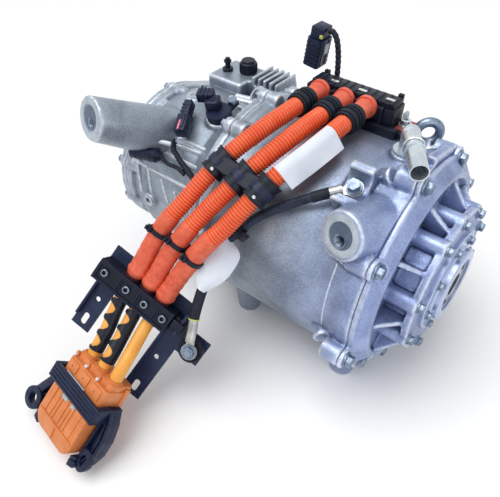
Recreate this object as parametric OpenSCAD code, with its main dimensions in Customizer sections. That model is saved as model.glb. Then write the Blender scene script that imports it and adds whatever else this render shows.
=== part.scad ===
// Electric drive unit: coaxial motor, two stage gearbox, bevel differential and high voltage cable set.
// The origin is the centre of the right output bore's mouth. X runs out along the axle line, Z is up.

/* [Motor] */
// Outer radius of the cast motor housing
housing_r = 122; // [119:0.5:125]
// Wall of the motor housing
housing_wall = 9; // [7:0.5:10]
// Length of the motor housing from joint to joint
motor_len = 208; // [206:1:224]
// Length of the stator stack
stator_len = 140; // [120:1:144]
// Radial depth of the stator stack
stator_depth = 30; // [26:1:34]
// Wall of the cooling sleeve around the stator
jacket_wall = 5; // [4:0.5:6]
// Gap between rotor and stator
air_gap = 0.8; // [0.5:0.1:1.2]
// Reach of the end windings past the stack
winding_len = 26; // [20:1:28]

/* [Right end] */
// Depth of the end cover from the split to its hub face
cover_depth = 44; // [43:1:50]
// Radius of the split flange
flange_r = 127; // [125.5:0.5:129]
// Thickness of the motor half of the split flange
flange_t = 12; // [10:1:14]
// Thickness of the cover half of the split flange
cover_flange_t = 5; // [4:0.5:7]
// Mean radius of the split flange bolts
main_bolt_r = 128; // [127:0.5:130]
// Radius of the circle of hub bolts
hub_bolt_r = 79; // [77:0.5:81]
// Radius of the hub flange
hub_flange_r = 84; // [82:0.5:86]
// Radius of the circle of axle flange bolts
axle_bolt_r = 50; // [49:0.5:51]
// Radius of the axle flange
axle_flange_r = 58; // [57:0.5:60]
// How far the axle flange stands past the output bore's mouth
axle_lip = 2; // [1:0.5:4]

/* [Gear train] */
// Tooth module of both spur gear stages
gear_module = 2; // [1.9:0.05:2.05]
// Face width of the first stage
first_face = 26; // [22:1:27]
// Face width of the final stage
final_face = 32; // [28:1:33]
// Tooth module of the bevel gears at their large end
bevel_module = 3.2; // [3:0.1:3.3]
// Side play of all gear teeth
tooth_play = 0.4; // [0.3:0.05:0.5]
// Wall of the gearbox casting
gearbox_wall = 8; // [7:0.5:10]
// Rise of the case over the gears past its left end
case_rise = 10; // [6:1:12]
// Length of the gearbox casting
gearbox_len = 148; // [147:1:156]
// Thickness of the gearbox lid
lid_t = 12; // [11:0.5:14]

/* [Shafts] */
// Radius of the rotor shaft
rotor_shaft_r = 25; // [24:0.5:26]
// Radius of the bore through the rotor shaft
rotor_bore_r = 18; // [17:0.5:18.5]
// Radius of the long output shaft
output_shaft_r = 15; // [14:0.5:16]
// Outer radius of the output couplings
coupling_r = 19; // [18:0.5:20]
// Radius of the splined output bores
spline_r = 13; // [12:0.5:14]
// Depth of the splined output bores
spline_len = 26; // [22:1:28]
// Radius of the layshaft
layshaft_r = 17; // [16:0.5:18]
// Running clearance of shafts in their bearings
run_gap = 0.05; // [0.03:0.01:0.08]

/* [Mounts] */
// Radius of the front mount boss face
boss_r = 24; // [22:0.5:26]
// Radius of the horn face
horn_r = 25; // [23:0.5:27]
// Radius of the mount holes
mount_hole_r = 6; // [5:0.5:7]
// Depth of the mount holes
mount_hole_depth = 28; // [24:1:30]
// Drop of the mount hole below the middle of its face
mount_hole_drop = 6; // [4:0.5:8]
// Upward tilt of the mount faces in degrees
mount_tilt = 17; // [14:1:20]
// Sideways turn of the mount faces in degrees
mount_yaw = -12; // [-15:1:-9]
// Depth of the feet below the axle line
foot_drop = 142; // [138:1:150]
// Radius of the feet
foot_r = 15; // [13:0.5:17]

/* [Cables] */
// Radius of the corrugated conduits
conduit_r = 9.8; // [9:0.1:10.2]
// Radius of the bare phase leads
lead_r = 7.3; // [6.5:0.1:7.6]
// Radius of the earth strap's cover
strap_r = 5; // [4:0.25:5.5]
// Radius of the coolant pipes
pipe_r = 9; // [8:0.5:10]
// Wall of the coolant pipes
pipe_wall = 1.2; // [1:0.1:2]

/* [Connector] */
// Width of the high voltage connector
plug_w = 68; // [64:1:72]
// Height of the high voltage connector
plug_h = 40; // [38:1:44]
// Length of the connector's front shell
plug_front_len = 60; // [56:1:63]
// Length of the connector's rear shell
plug_rear_len = 32; // [28:1:36]
// Thickness of the connector lever's arms
lever_t = 8; // [7:0.5:9]

/* [Hidden] */
$fn = 48;
// Overlap of cutting tools past the faces that they cut
cut = 1;
// Room between a bolt and its hole
hole_gap = 0.3;
// Room between fixed pieces that sit in each other
seat_gap = 0.02;
// Room between pieces that pass each other
pass_gap = 0.5;

// Stations along the axle line
hub_face_x = -10;
axle_plate_t = 4;
axle_face_x = axle_lip;
axle_plate_x = hub_face_x + axle_plate_t;
split_x = hub_face_x - cover_depth;
joint_x = split_x - motor_len;
wall_t = 14;
wall_x = joint_x - wall_t;
lid_x = joint_x - gearbox_len;
lid_face_x = lid_x - lid_t;
lid_hub_len = 14;
lid_hub_x = lid_face_x - lid_hub_len;

// Motor
housing_bore_r = housing_r - housing_wall;
stator_r = housing_bore_r - jacket_wall - 2 * seat_gap;
stator_bore_r = stator_r - stator_depth;
rotor_r = stator_bore_r - air_gap;
winding_room = 2;
stator_x0 = joint_x + winding_room + winding_len;
stator_x1 = stator_x0 + stator_len;
spigot_len = 6;
spigot_x = split_x - spigot_len;

// Bearings as outer radius and width
rotor_bearing_r = 40;
rotor_bearing_w = 14;
rotor_right_journal_r = rotor_shaft_r - 2.5;
diff_bearing_r = 36;
diff_journal_r = 23;
diff_bearing_w = 14;
lay_bearing_r = 30;
lay_bearing_w = 12;
output_bearing_r = 30;
output_bearing_w = 13;
seal_w = 6;
seal_r = 28;
bearing_lip = 3;

// Gear train
rotor_teeth = 25;
lay_gear_teeth = 75;
lay_pinion_teeth = 22;
ring_teeth = 78;
side_teeth = 16;
spider_teeth = 10;
pressure_angle = 20;
gear_gap = 3;
lay_angle = -18;
centre_distance = gear_module * (rotor_teeth + lay_gear_teeth) / 2;
lay_y = centre_distance * cos(lay_angle);
lay_z = centre_distance * sin(lay_angle);
first_x1 = wall_x - gear_gap - 1;
first_x0 = first_x1 - first_face;
web_x1 = first_x0 - gear_gap;
web_x0 = web_x1 - diff_bearing_w;
ring_tip_r = gear_module * (ring_teeth + 2) / 2;
lay_tip_r = gear_module * (lay_gear_teeth + 2) / 2;
cavity_r = ring_tip_r + gear_gap + 1;
lay_cavity_r = lay_tip_r + gear_gap + 1;
gearbox_r = cavity_r + gearbox_wall;
lay_case_r = lay_cavity_r + gearbox_wall;
case_r = gearbox_r + case_rise;

// Differential
side_pitch_r = bevel_module * side_teeth / 2;
spider_pitch_r = bevel_module * spider_teeth / 2;
bevel_face = 7.5;
bevel_back = 6;
bevel_play = tooth_play + 0.6;
diff_wall = 9;
diff_room_r = side_pitch_r + bevel_back + 5;
diff_half_room = spider_pitch_r + bevel_back + 3;
diff_case_r = diff_room_r + diff_wall;
diff_x1 = web_x0 - gear_gap;
diff_x = diff_x1 - diff_wall - diff_half_room;
diff_x0 = diff_x - diff_half_room - diff_wall;
ring_flange_t = 7;
ring_x1 = diff_x1 - ring_flange_t;
ring_x0 = ring_x1 - final_face;
cross_pin_r = 8;
lid_bearing_x0 = diff_x0 - diff_bearing_w;

// Output couplings
coupling_len = spline_len + 6;
right_step_x = -coupling_len;
left_end_x = lid_hub_x;

// Split flange bolts as [angle, step past the mean radius], the others as angles.
// All angles run from the back turning up.
main_bolt_places = [[20, 0], [64, -3], [104, 2], [145, 0], [194, 8], [219, -7],
    [256, 0], [292, 0], [328, 0]];
hub_bolt_angles = [20, 55, 90, 117, 162, 200, 245, 290, 335];
axle_bolt_angles = [10, 55, 100, 145, 190, 235, 280, 325];
joint_bolt_angles = [57, 85, 113, 172, 203, 248, 290];
main_bolt = [4, 8.2, 26];
hub_bolt = [3, 6.4, 20];
axle_bolt = [2.5, 5.4, 16];
lug_r = 11.5;

// Gearbox outline and its lid bolts
side_inset = 0.5;
lid_rim = 7;

// Mount places
boss_at = [split_x - 32, 10 - housing_r, housing_r - 22];
boss_root_r = 31;
boss_len = 52;
horn_at = [joint_x - 140, -135, 115];
horn_root_at = [joint_x - 96, -30, 58];
horn_root_r = 33;
spot_r = 16;
spot_depth = 1.5;
rear_boss_at = [split_x - 103, housing_r + 28, 52];
feet_at = [[split_x - 24, -70], [split_x - 24, 70], [joint_x + 32, -62], [joint_x + 32, 66]];
gearbox_foot_at = [joint_x - 120, 64];
foot_h = 60;

// Top of the motor housing
terminal_at = [split_x - 120, 52, housing_r - 6];
terminal_size = [106, 26, 34];
terminal_pad = [118, 70, 40];
boot_at = [terminal_at[0] - 36, terminal_at[0] - 5, terminal_at[0] + 22];
boot_z = terminal_at[2] + 26;
boot_r = 10.5;
boot_end_y = 14;
gland_r = 13.5;
gland_len = 22;
saddle_x = split_x - 50;
saddle_angle = 118;
saddle_size = [26, 46, 20];
saddle_notch_r = 14;
saddle_lug_turn = 43;
earth_bolt_r = 4;
earth_seat_r = housing_r + saddle_size[2] - saddle_notch_r + 0.6;
pipe_in_at = [split_x - 33, 7, housing_r + 25.5];
pipe_seat_z = housing_r + 6;
pipe_yaw = 33;
pipe_len = 64;
pipe_out_at = [joint_x + 45, housing_r - 17, 72];
eye_at = [split_x - 35, 62, housing_r - 17];
eye_bar_r = 5;
eye_ring_r = 12;

// Sensors on the gearbox
oil_sensor_x = joint_x - 42;
oil_sensor_angle = 104;
oil_seat_r = case_r + 5;
lug_hole_x = joint_x - 95;
lug_hole_angle = 178;
breather_z = 108;

// Cable routes, chosen by hand
conduit_route_1 = [[-210, 12, 142], [-210, -10, 142], [-212, -28, 140], [-217, -50, 135], [-229, -89, 120],
    [-241, -119, 99], [-251, -142, 77], [-260, -162, 58], [-267, -181, 35],
    [-272, -198, 12], [-278, -213, -7]];
conduit_route_2 = [[-179, 12, 142], [-179, -10, 142], [-181, -30, 140], [-186, -60, 133], [-198, -94, 117],
    [-210, -121, 98], [-223, -141, 77], [-234, -161, 56], [-244, -179, 32],
    [-253, -196, 4], [-259, -211, -15]];
conduit_route_3 = [[-152, 12, 142], [-152, -10, 142], [-154, -30, 139], [-159, -60, 132], [-171, -94, 117],
    [-184, -123, 94], [-196, -145, 71], [-210, -163, 50], [-223, -180, 23],
    [-234, -195, -4], [-240, -210, -23]];
lead_route_1 = [[-278, -213, -7], [-280, -224, -20], [-279, -238, -31], [-276, -252, -42], [-274, -267, -52],
    [-274, -281, -64]];
lead_route_2 = [[-259, -211, -15], [-261, -222, -28], [-259, -237, -37], [-256, -253, -45], [-253, -269, -53],
    [-253, -284, -64]];
lead_route_3 = [[-240, -210, -23], [-242, -222, -35], [-240, -237, -42], [-236, -254, -48], [-232, -272, -54],
    [-231, -287, -64]];
strap_route = [[-120.9, -76.8, 111], [-132.6, -86.4, 105.9], [-156, -98, 91], [-180, -110, 72],
    [-196, -126, 52], [-204, -146, 34], [-203, -170, 11], [-198, -192.3, -11.8], [-193.4, -205.2, -29.56]];
pigtail_route = [[-213, 76, 116], [-213, 76, 126], [-215, 80, 145], [-218, 83, 163], [-222, 84, 178],
    [-227.4, 84, 186.2], [-233.4, 84, 187]];
pigtail_r = 3.2;
pigtail_plug_top = [-243, 84, 191];
pigtail_plug_end = [-249, 84, 145];
harness_route = [[-331, -77, 84], [-328, -82, 78], [-320, -85, 74], [-310, -88, 69], [-298, -91, 64],
    [-286, -94, 60]];
harness_r = 3.2;

// Bracket on the cables, in its own slanted frame
bracket_at = [-259, -214, -16];
bracket_turn = [49, 22, 7];
bar_x0 = -56;
bar_size = [98, 24, 24];
bracket_t = 2.5;
plate_z = -bar_size[2] / 2 - bracket_t;
bar_holes_x = [-20.5, 0.2, 21];
bar_holes_z = -1.4;
bush_at = [77, -13];
bush_r = 14;
bush_top_z = 2;
lug_turn = -65;

// Connector at the end of the leads, leaning on the floor with its nose
plug_at = [-255, -300, -108];
plug_turn = [42, 0, -8];
plug_corner = 5;
plug_joint_y = 10;
lead_depth = 5;
lead_pitch = 21.5;
lead_z = 22;
lever_pivot_y = -38;
lever_pivot_z = 15;
lever_pin_r = 4;
lever_bar_y = [2, 20];
lever_bar_h = 5;
lever_h = 14;

// Helpers
module along_x(x) {
    translate([x, 0, 0])
        rotate([0, 90, 0])
            children();
}

module rod_x(x0, x1, r) {
    along_x(x0)
        cylinder(h = x1 - x0, r = r);
}

module tube_x(x0, x1, outer, inner) {
    difference() {
        rod_x(x0, x1, outer);
        rod_x(x0 - cut, x1 + cut, inner);
    }
}

// Turns a profile of [radius, x] points about the axle line
module turned(profile) {
    rotate([0, 90, 0])
        rotate_extrude()
            polygon(profile);
}

// Moves children to a radius and an angle around the axle line
module around(r, s) {
    translate([0, r * cos(s), r * sin(s)])
        children();
}

// Turns children so that their Z points straight out from the axle line
module outward(s) {
    rotate([s - 90, 0, 0])
        children();
}

module on_layshaft() {
    translate([0, lay_y, lay_z])
        children();
}

// Faces children's Z along the mount direction
module mount_facing() {
    rotate([90 - mount_tilt, 0, mount_yaw])
        children();
}

// Puts children at a with their Z pointing to b
module aimed(a, b) {
    v = b - a;
    translate(a)
        rotate([0, acos(v[2] / norm(v)), atan2(v[1], v[0])])
            children();
}

module flange_bolt(size) {
    shank_r = size[0];
    head_r = size[1];
    translate([0, 0, -size[2]])
        cylinder(h = size[2], r = shank_r);
    cylinder(h = shank_r * 0.5, r = head_r);
    cylinder(h = shank_r * 2, r = head_r * 0.82, $fn = 6);
}

module bolt_ring(x, r, angles, size) {
    for (s = angles)
        around(r, s)
            along_x(x)
                flange_bolt(size);
}

module hole_ring(x0, x1, r, angles, hole_r) {
    for (s = angles)
        around(r, s)
            rod_x(x0, x1, hole_r);
}

module main_holes(x0, x1, hole_r) {
    for (p = main_bolt_places)
        around(main_bolt_r + p[1], p[0])
            rod_x(x0, x1, hole_r);
}

// Sealed ball bearing with sunk shields
module sealed_bearing(x, w, outer, inner) {
    ring = (outer - inner) * 0.28;
    sunk = 1.2;
    turned([[inner, x], [inner + ring, x], [inner + ring, x + sunk], [outer - ring, x + sunk],
        [outer - ring, x], [outer, x], [outer, x + w], [outer - ring, x + w],
        [outer - ring, x + w - sunk], [inner + ring, x + w - sunk], [inner + ring, x + w], [inner, x + w]]);
}

// Gear teeth
function involute(a) = tan(a) * 180 / PI - a;
function half_tooth(teeth, pitch_r, r, play) =
    let (base_r = pitch_r * cos(pressure_angle),
        a = r > base_r ? acos(base_r / r) : 0)
    90 / teeth - play / pitch_r * 45 / PI + involute(pressure_angle) - involute(a);
function spur_point(teeth, m, i, r, side) =
    let (s = 360 * i / teeth + side * half_tooth(teeth, m * teeth / 2, r, tooth_play))
    [r * cos(s), r * sin(s)];
function spur_points(teeth, m) =
    let (root = m * (teeth / 2 - 1.25), pitch = m * teeth / 2, tip = m * (teeth / 2 + 0.95))
    [for (i = [0:teeth - 1], step = [[root, -1], [pitch, -1], [tip, -1], [tip, 1], [pitch, 1], [root, 1]])
        spur_point(teeth, m, i, step[0], step[1])];

// Spur gear with a tooth centred on the angle first
module spur_gear(x0, x1, teeth, first) {
    along_x(x0)
        rotate([0, 0, first + 90])
            linear_extrude(height = x1 - x0)
                polygon(spur_points(teeth, gear_module));
}

// Bevel teeth are laid out on the back cone, then brought to the plane of the pitch circle
function bevel_point(teeth, cone, i, rise, side) =
    let (pitch_r = bevel_module * teeth / 2,
        axial = pitch_r / tan(cone),
        back_r = pitch_r / cos(cone),
        half = half_tooth(teeth / cos(cone), back_r, back_r + rise, bevel_play) / cos(cone),
        r = (pitch_r + rise * cos(cone)) * axial / (axial - rise * sin(cone)),
        s = 360 * i / teeth + side * half)
    [r * cos(s), r * sin(s)];
function bevel_points(teeth, cone) =
    let (root = -1.15 * bevel_module, tip = 0.8 * bevel_module)
    [for (i = [0:teeth - 1], step = [[root, -1], [0, -1], [tip, -1], [tip, 1], [0, 1], [root, 1]])
        bevel_point(teeth, cone, i, step[0], step[1])];

// Bevel teeth along Z with the cone's tip at the origin and a tooth centred on X plus first
module bevel_teeth(teeth, cone, first) {
    axial = bevel_module * teeth / 2 / tan(cone);
    translate([0, 0, axial])
        mirror([0, 0, 1])
            rotate([0, 0, first])
                linear_extrude(height = bevel_face, scale = (axial - bevel_face) / axial)
                    polygon(bevel_points(teeth, cone));
}
side_cone = atan(side_teeth / spider_teeth);
spider_cone = 90 - side_cone;

// A tube swept through the points of a route
function along(route, i) =
    let (last = len(route) - 1,
        d = route[min(i + 1, last)] - route[max(i - 1, 0)])
    d / norm(d);
function ring_points(centre, d, r, sides) =
    let (u = cross(d, [1, 0, 0.01]) / norm(cross(d, [1, 0, 0.01])),
        v = cross(d, u))
    [for (k = [0:sides - 1]) centre + r * (cos(360 * k / sides) * u + sin(360 * k / sides) * v)];
module swept_tube(route, r, sides) {
    rings = len(route);
    points = [for (i = [0:rings - 1]) each ring_points(route[i], along(route, i), r, sides)];
    walls = [for (i = [0:rings - 2], k = [0:sides - 1])
        [i * sides + k, i * sides + (k + 1) % sides, (i + 1) * sides + (k + 1) % sides, (i + 1) * sides + k]];
    first = [for (k = [0:sides - 1]) sides - 1 - k];
    last = [for (k = [0:sides - 1]) (rings - 1) * sides + k];
    polyhedron(points = points, faces = concat([first], walls, [last]), convexity = 6);
}

// Outline of the gearbox: two rounds joined by sides that lie just inside their outer tangents
module gearbox_outline(grow) {
    axle_round = gearbox_r + grow;
    lay_round = lay_case_r + grow;
    axle_side = axle_round - side_inset;
    lay_side = lay_round - side_inset;
    spread = acos((axle_round - lay_round) / centre_distance);
    rotate([0, 0, lay_angle + 90]) {
        circle(r = axle_round);
        translate([centre_distance, 0])
            circle(r = lay_round);
        polygon([
            axle_side * [cos(spread), sin(spread)],
            [centre_distance, 0] + lay_side * [cos(spread), sin(spread)],
            [centre_distance, 0] + lay_side * [cos(spread), -sin(spread)],
            axle_side * [cos(spread), -sin(spread)]]);
    }
}

module gearbox_block(x0, x1, grow) {
    along_x(x0)
        linear_extrude(height = x1 - x0)
            gearbox_outline(grow);
}

// Lid bolt places around the gearbox outline, as [y, z]
lid_bolt_reach = 0;
lid_bolt_places = concat(
    [for (s = [lay_angle + 105, lay_angle + 145, lay_angle + 180, lay_angle + 215, lay_angle + 255])
        (gearbox_r + lid_bolt_reach) * [cos(s), sin(s)]],
    [for (s = [lay_angle - 75, lay_angle - 38, lay_angle, lay_angle + 38, lay_angle + 75])
        [lay_y, lay_z] + (lay_case_r + lid_bolt_reach) * [cos(s), sin(s)]]);
lid_lug_r = 8;

module motor_lugs() {
    lug_len = flange_t + 10;
    for (p = main_bolt_places) {
        r = main_bolt_r + p[1];
        around(r, p[0])
            rod_x(split_x - lug_len, split_x, lug_r);
        rotate([p[0] - 90, 0, 0])
            aimed([split_x - lug_len - 22, 0, housing_r - 10], [split_x - lug_len + 1, 0, r])
                cylinder(h = 24, r1 = lug_r - 5, r2 = lug_r - 1);
    }
}

module motor_feet() {
    for (p = feet_at)
        translate([p[0], p[1], -foot_drop])
            cylinder(h = foot_h, r1 = foot_r, r2 = foot_r + 6);
}

module front_boss() {
    translate(boss_at)
        mount_facing()
            translate([0, 0, -boss_len])
                cylinder(h = boss_len, r1 = boss_root_r, r2 = boss_r);
}

module mount_hole(depth) {
    translate([0, -mount_hole_drop, -depth])
        cylinder(h = depth + cut, r = mount_hole_r);
}

// Thin web from the front boss up to the split flange
module boss_web() {
    web_top = [[boss_at[0] - 10, boss_at[1] + 28, boss_at[2] + 16], [split_x - 4, -26, housing_r + 2]];
    hull() {
        for (p = web_top, drop = [0, 40])
            translate([p[0], p[1], p[2] - drop])
                sphere(r = 2.5, $fn = 12);
    }
}

module earth_saddle() {
    translate([saddle_x, 0, 0])
        outward(saddle_angle)
            translate([0, 0, housing_r - 8])
                difference() {
                    translate([-saddle_size[0] / 2, -saddle_size[1] / 2, 0])
                        cube(saddle_size + [0, 0, 8]);
                    translate([-saddle_size[0], 0, saddle_size[2] + 8])
                        rotate([0, 90, 0])
                            cylinder(h = 2 * saddle_size[0], r = saddle_notch_r);
                }
}

// Room for the ring lug and its neck on the saddle
module earth_seat_room() {
    room_h = 40;
    cylinder(h = room_h, r = 10);
    translate([-25, -6.5, 0])
        cube([25, 13, room_h]);
}

module motor_housing() {
    rim_x = split_x - flange_t;
    color([0.68, 0.70, 0.75])
        difference() {
            union() {
                turned([[housing_bore_r - 1, joint_x], [housing_r + 4, joint_x],
                    [housing_r + 4, joint_x + 12],
                    [housing_r, joint_x + 20], [housing_r, rim_x - 30], [housing_r + 1.5, rim_x - 14],
                    [flange_r, rim_x], [flange_r, split_x], [housing_bore_r - 1, split_x]]);
                motor_lugs();
                hole_ring(joint_x, joint_x + 18, housing_r + 4, joint_bolt_angles, 9.5);
                motor_feet();
                difference() {
                    front_boss();
                    translate([split_x, -250, 0])
                        cube(250);
                }
                boss_web();
                earth_saddle();
                // Raised pad for the terminal block
                translate([terminal_at[0] - terminal_pad[0] / 2, terminal_at[1] - terminal_pad[1] / 2 - 4,
                        terminal_at[2] - terminal_pad[2]])
                    cube(terminal_pad);
                // Socket for the coolant inlet and the lifting eye
                translate([pipe_in_at[0], pipe_in_at[1], pipe_seat_z - 40])
                    cylinder(h = 40, r = 15);
                translate([eye_at[0], eye_at[1], eye_at[2] - 25])
                    cylinder(h = 25, r = 12);
                // Socket for the coolant outlet
                translate([pipe_out_at[0], pipe_out_at[1] - 30, pipe_out_at[2]])
                    rotate([-90, 0, 0])
                        cylinder(h = 30, r = 15);
                // Rear mount boss
                translate([rear_boss_at[0], rear_boss_at[1] - boss_len, rear_boss_at[2]])
                    rotate([-90, 0, 0])
                        cylinder(h = boss_len, r1 = boss_root_r, r2 = boss_r);
                // Raised pad bar and block lug on the split flange
                translate([split_x - flange_t, 0, 0])
                    outward(78)
                        translate([0, -26, flange_r - 8])
                            cube([flange_t, 46, 14]);
                translate([split_x - 8, 0, 0])
                    outward(132)
                        translate([0, -6, flange_r - 6])
                            cube([8, 12, 11]);
            }
            rod_x(joint_x - cut, split_x + cut, housing_bore_r);
            main_holes(split_x - main_bolt[2] + cover_flange_t, split_x + cut, main_bolt[0] + seat_gap);
            hole_ring(joint_x - cut, joint_x + 14, housing_r + 4, joint_bolt_angles, hub_bolt[0] + seat_gap);
            translate(boss_at)
                mount_facing() {
                    mount_hole(mount_hole_depth);
                    translate([0, 0, -spot_depth])
                        cylinder(h = 3, r = spot_r);
                }
            translate(rear_boss_at)
                rotate([-90, 0, 0])
                    translate([0, 0, -mount_hole_depth])
                        cylinder(h = mount_hole_depth + cut, r = mount_hole_r);
            translate([eye_at[0], eye_at[1], eye_at[2] - 6.1])
                cylinder(h = 20, r = eye_bar_r + 1 + seat_gap);
            translate(eye_at)
                cylinder(h = 30, r = 10.3);
            translate([saddle_x, 0, 0])
                outward(saddle_angle) {
                    translate([0, 0, housing_r - 6])
                        cylinder(h = 60, r = earth_bolt_r + seat_gap);
                    translate([0, 0, earth_seat_r])
                        rotate([0, 0, saddle_lug_turn])
                            earth_seat_room();
                }
        }
}

module cooling_jacket() {
    grooves = 7;
    pitch = stator_len / grooves;
    color([0.72, 0.72, 0.74])
        difference() {
            tube_x(stator_x0, stator_x1, housing_bore_r - seat_gap, stator_r + seat_gap);
            for (i = [0:grooves - 1])
                tube_x(stator_x0 + (i + 0.25) * pitch, stator_x0 + (i + 0.75) * pitch,
                    housing_bore_r + cut, housing_bore_r - jacket_wall * 0.6);
        }
}

module stator_core() {
    slots = 24;
    slot_depth = stator_depth * 0.55;
    color([0.45, 0.46, 0.48])
        difference() {
            tube_x(stator_x0, stator_x1, stator_r, stator_bore_r);
            for (i = [0:slots - 1])
                rotate([360 * i / slots, 0, 0])
                    translate([stator_x0 - cut, -3, stator_bore_r - 2])
                        cube([stator_len + 2 * cut, 6, slot_depth + 2]);
        }
}

module stator_windings() {
    coil_in = stator_bore_r + 4;
    coil_out = stator_r - 5;
    round = 4;
    color([0.72, 0.42, 0.2])
        for (x = [stator_x0 - winding_len, stator_x1])
            turned([[coil_in + round, x], [coil_out - round, x], [coil_out, x + round],
                [coil_out, x + winding_len - round], [coil_out - round, x + winding_len],
                [coil_in + round, x + winding_len],
                [coil_in, x + winding_len - round], [coil_in, x + round]]);
}

module rotor_core() {
    plate_t = 3;
    relief_r = 8;
    color([0.5, 0.5, 0.53])
        difference() {
            turned([[rotor_shaft_r + seat_gap, stator_x0 - plate_t], [rotor_r - 8, stator_x0 - plate_t],
                [rotor_r - 8, stator_x0], [rotor_r, stator_x0], [rotor_r, stator_x1],
                [rotor_r - 8, stator_x1], [rotor_r - 8, stator_x1 + plate_t],
                [rotor_shaft_r + seat_gap, stator_x1 + plate_t]]);
            hole_ring(stator_x0 - 20, stator_x1 + 20, (rotor_r + rotor_shaft_r) / 2,
                [for (i = [0:7]) 45 * i], relief_r);
        }
}

module rotor_shaft() {
    shaft_end = split_x + rotor_bearing_w + 5;
    journal = rotor_right_journal_r - run_gap;
    color([0.62, 0.63, 0.66])
        difference() {
            union() {
                rod_x(wall_x - 2, wall_x + wall_t + 1, rotor_shaft_r - run_gap);
                rod_x(wall_x + wall_t + 1, split_x, rotor_shaft_r);
                rod_x(split_x, shaft_end, journal);
                spur_gear(first_x0, first_x1, rotor_teeth, lay_angle);
                rod_x(first_x1 - 1, wall_x - 1, gear_module * (rotor_teeth / 2 - 1.25));
            }
            rod_x(first_x0 - cut, shaft_end + cut, rotor_bore_r);
        }
}

module motor_bearings() {
    color([0.75, 0.76, 0.78]) {
        sealed_bearing(wall_x + (wall_t - rotor_bearing_w) / 2, rotor_bearing_w,
            rotor_bearing_r, rotor_shaft_r);
        sealed_bearing(split_x + 4, rotor_bearing_w, rotor_bearing_r, rotor_right_journal_r);
        sealed_bearing(hub_face_x - output_bearing_w - 0.5, output_bearing_w, output_bearing_r,
            coupling_r + run_gap);
    }
}

module resolver_stator() {
    color([0.3, 0.32, 0.35])
        tube_x(spigot_x - 8, spigot_x, 58, rotor_shaft_r + 13);
}

module resolver_rotor() {
    lobes = 4;
    color([0.55, 0.56, 0.6])
        difference() {
            union() {
                rod_x(spigot_x - 8, spigot_x - 1, rotor_shaft_r + 8);
                for (i = [0:lobes - 1])
                    around(4, 360 * i / lobes)
                        rod_x(spigot_x - 8, spigot_x - 1, rotor_shaft_r + 7);
            }
            rod_x(spigot_x - 9, spigot_x, rotor_shaft_r + seat_gap);
        }
}

module end_cover() {
    flange_x = split_x + cover_flange_t;
    recess_x = split_x + 10;
    shoulder_x = split_x + 16;
    hub_r = hub_flange_r - 12.5;
    hub_boss_r = 9;
    hub_t = 8;
    rib_len = hub_face_x - hub_t - recess_x + 1;
    rib_reach = flange_r - 22 - hub_r;
    color([0.60, 0.63, 0.72])
        difference() {
            union() {
                turned([[20, spigot_x], [housing_bore_r - seat_gap, spigot_x],
                    [housing_bore_r - seat_gap, split_x],
                    [flange_r, split_x], [flange_r, flange_x], [flange_r - 4, flange_x + 3],
                    [flange_r - 9, shoulder_x - 4], [flange_r - 15, shoulder_x], [flange_r - 20, shoulder_x],
                    [flange_r - 25, recess_x], [hub_r, recess_x], [hub_r, hub_face_x - hub_t],
                    [hub_flange_r, hub_face_x - hub_t], [hub_flange_r, hub_face_x], [20, hub_face_x]]);
                main_holes(split_x, flange_x, lug_r);
                hole_ring(recess_x - 1, hub_face_x, hub_bolt_r, hub_bolt_angles, hub_boss_r);
                // Gusset ribs between the shoulder and the hub
                for (s = [5, 37, 72, 104, 139, 181, 222, 267, 312])
                    rotate([s - 90, 0, 0])
                        translate([recess_x - 1, 2.5, hub_r - 1])
                            rotate([90, 0, 0])
                                linear_extrude(height = 5)
                                    polygon([[0, 0], [0, rib_reach + 3], [6, rib_reach + 1],
                                        [rib_len, 12], [rib_len, 0]]);
            }
            main_holes(flange_x, hub_face_x, main_bolt[1] + 1.5);
            main_holes(split_x - cut, flange_x + cut, main_bolt[0] + hole_gap);
            rod_x(split_x + 4, split_x + 4 + rotor_bearing_w, rotor_bearing_r + seat_gap);
            rod_x(spigot_x - cut, split_x + 4, rotor_bearing_r - bearing_lip);
            rod_x(split_x + 4, hub_face_x + cut, coupling_r + 4);
            rod_x(hub_face_x - output_bearing_w - 1, hub_face_x + cut, output_bearing_r + seat_gap);
            hole_ring(hub_face_x - hub_bolt[2], hub_face_x + cut, hub_bolt_r, hub_bolt_angles,
                hub_bolt[0] + seat_gap);
            hole_ring(hub_face_x - axle_bolt[2] + axle_plate_t, hub_face_x + cut, axle_bolt_r,
                axle_bolt_angles, axle_bolt[0] + seat_gap);
        }
}

module axle_flange() {
    lip_r = axle_bolt_r - 8;
    seal_x = hub_face_x + 3;
    color([0.68, 0.70, 0.76])
        difference() {
            turned([[coupling_r + 3, hub_face_x], [axle_flange_r, hub_face_x],
                [axle_flange_r, axle_plate_x - 1],
                [axle_flange_r - 1, axle_plate_x], [lip_r + 2, axle_plate_x], [lip_r, axle_plate_x + 2],
                [lip_r, axle_face_x - 1.5], [lip_r - 1.5, axle_face_x], [coupling_r + 3, axle_face_x]]);
            rod_x(seal_x, axle_face_x + cut, seal_r + seat_gap);
            rod_x(seal_x + seal_w, axle_face_x + cut, seal_r + 3);
            hole_ring(hub_face_x - cut, axle_plate_x + cut, axle_bolt_r, axle_bolt_angles,
                axle_bolt[0] + hole_gap);
        }
}

module output_seals() {
    color([0.12, 0.12, 0.13]) {
        tube_x(hub_face_x + 3, hub_face_x + 3 + seal_w, seal_r, coupling_r + run_gap);
        tube_x(lid_hub_x + 2, lid_hub_x + 2 + seal_w, seal_r, coupling_r + run_gap);
    }
}

module main_bolts() {
    color([0.62, 0.64, 0.68])
        for (p = main_bolt_places)
            around(main_bolt_r + p[1], p[0])
                along_x(split_x + cover_flange_t)
                    flange_bolt(main_bolt);
}

module hub_bolts() {
    color([0.62, 0.64, 0.68])
        bolt_ring(hub_face_x, hub_bolt_r, hub_bolt_angles, hub_bolt);
}

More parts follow.
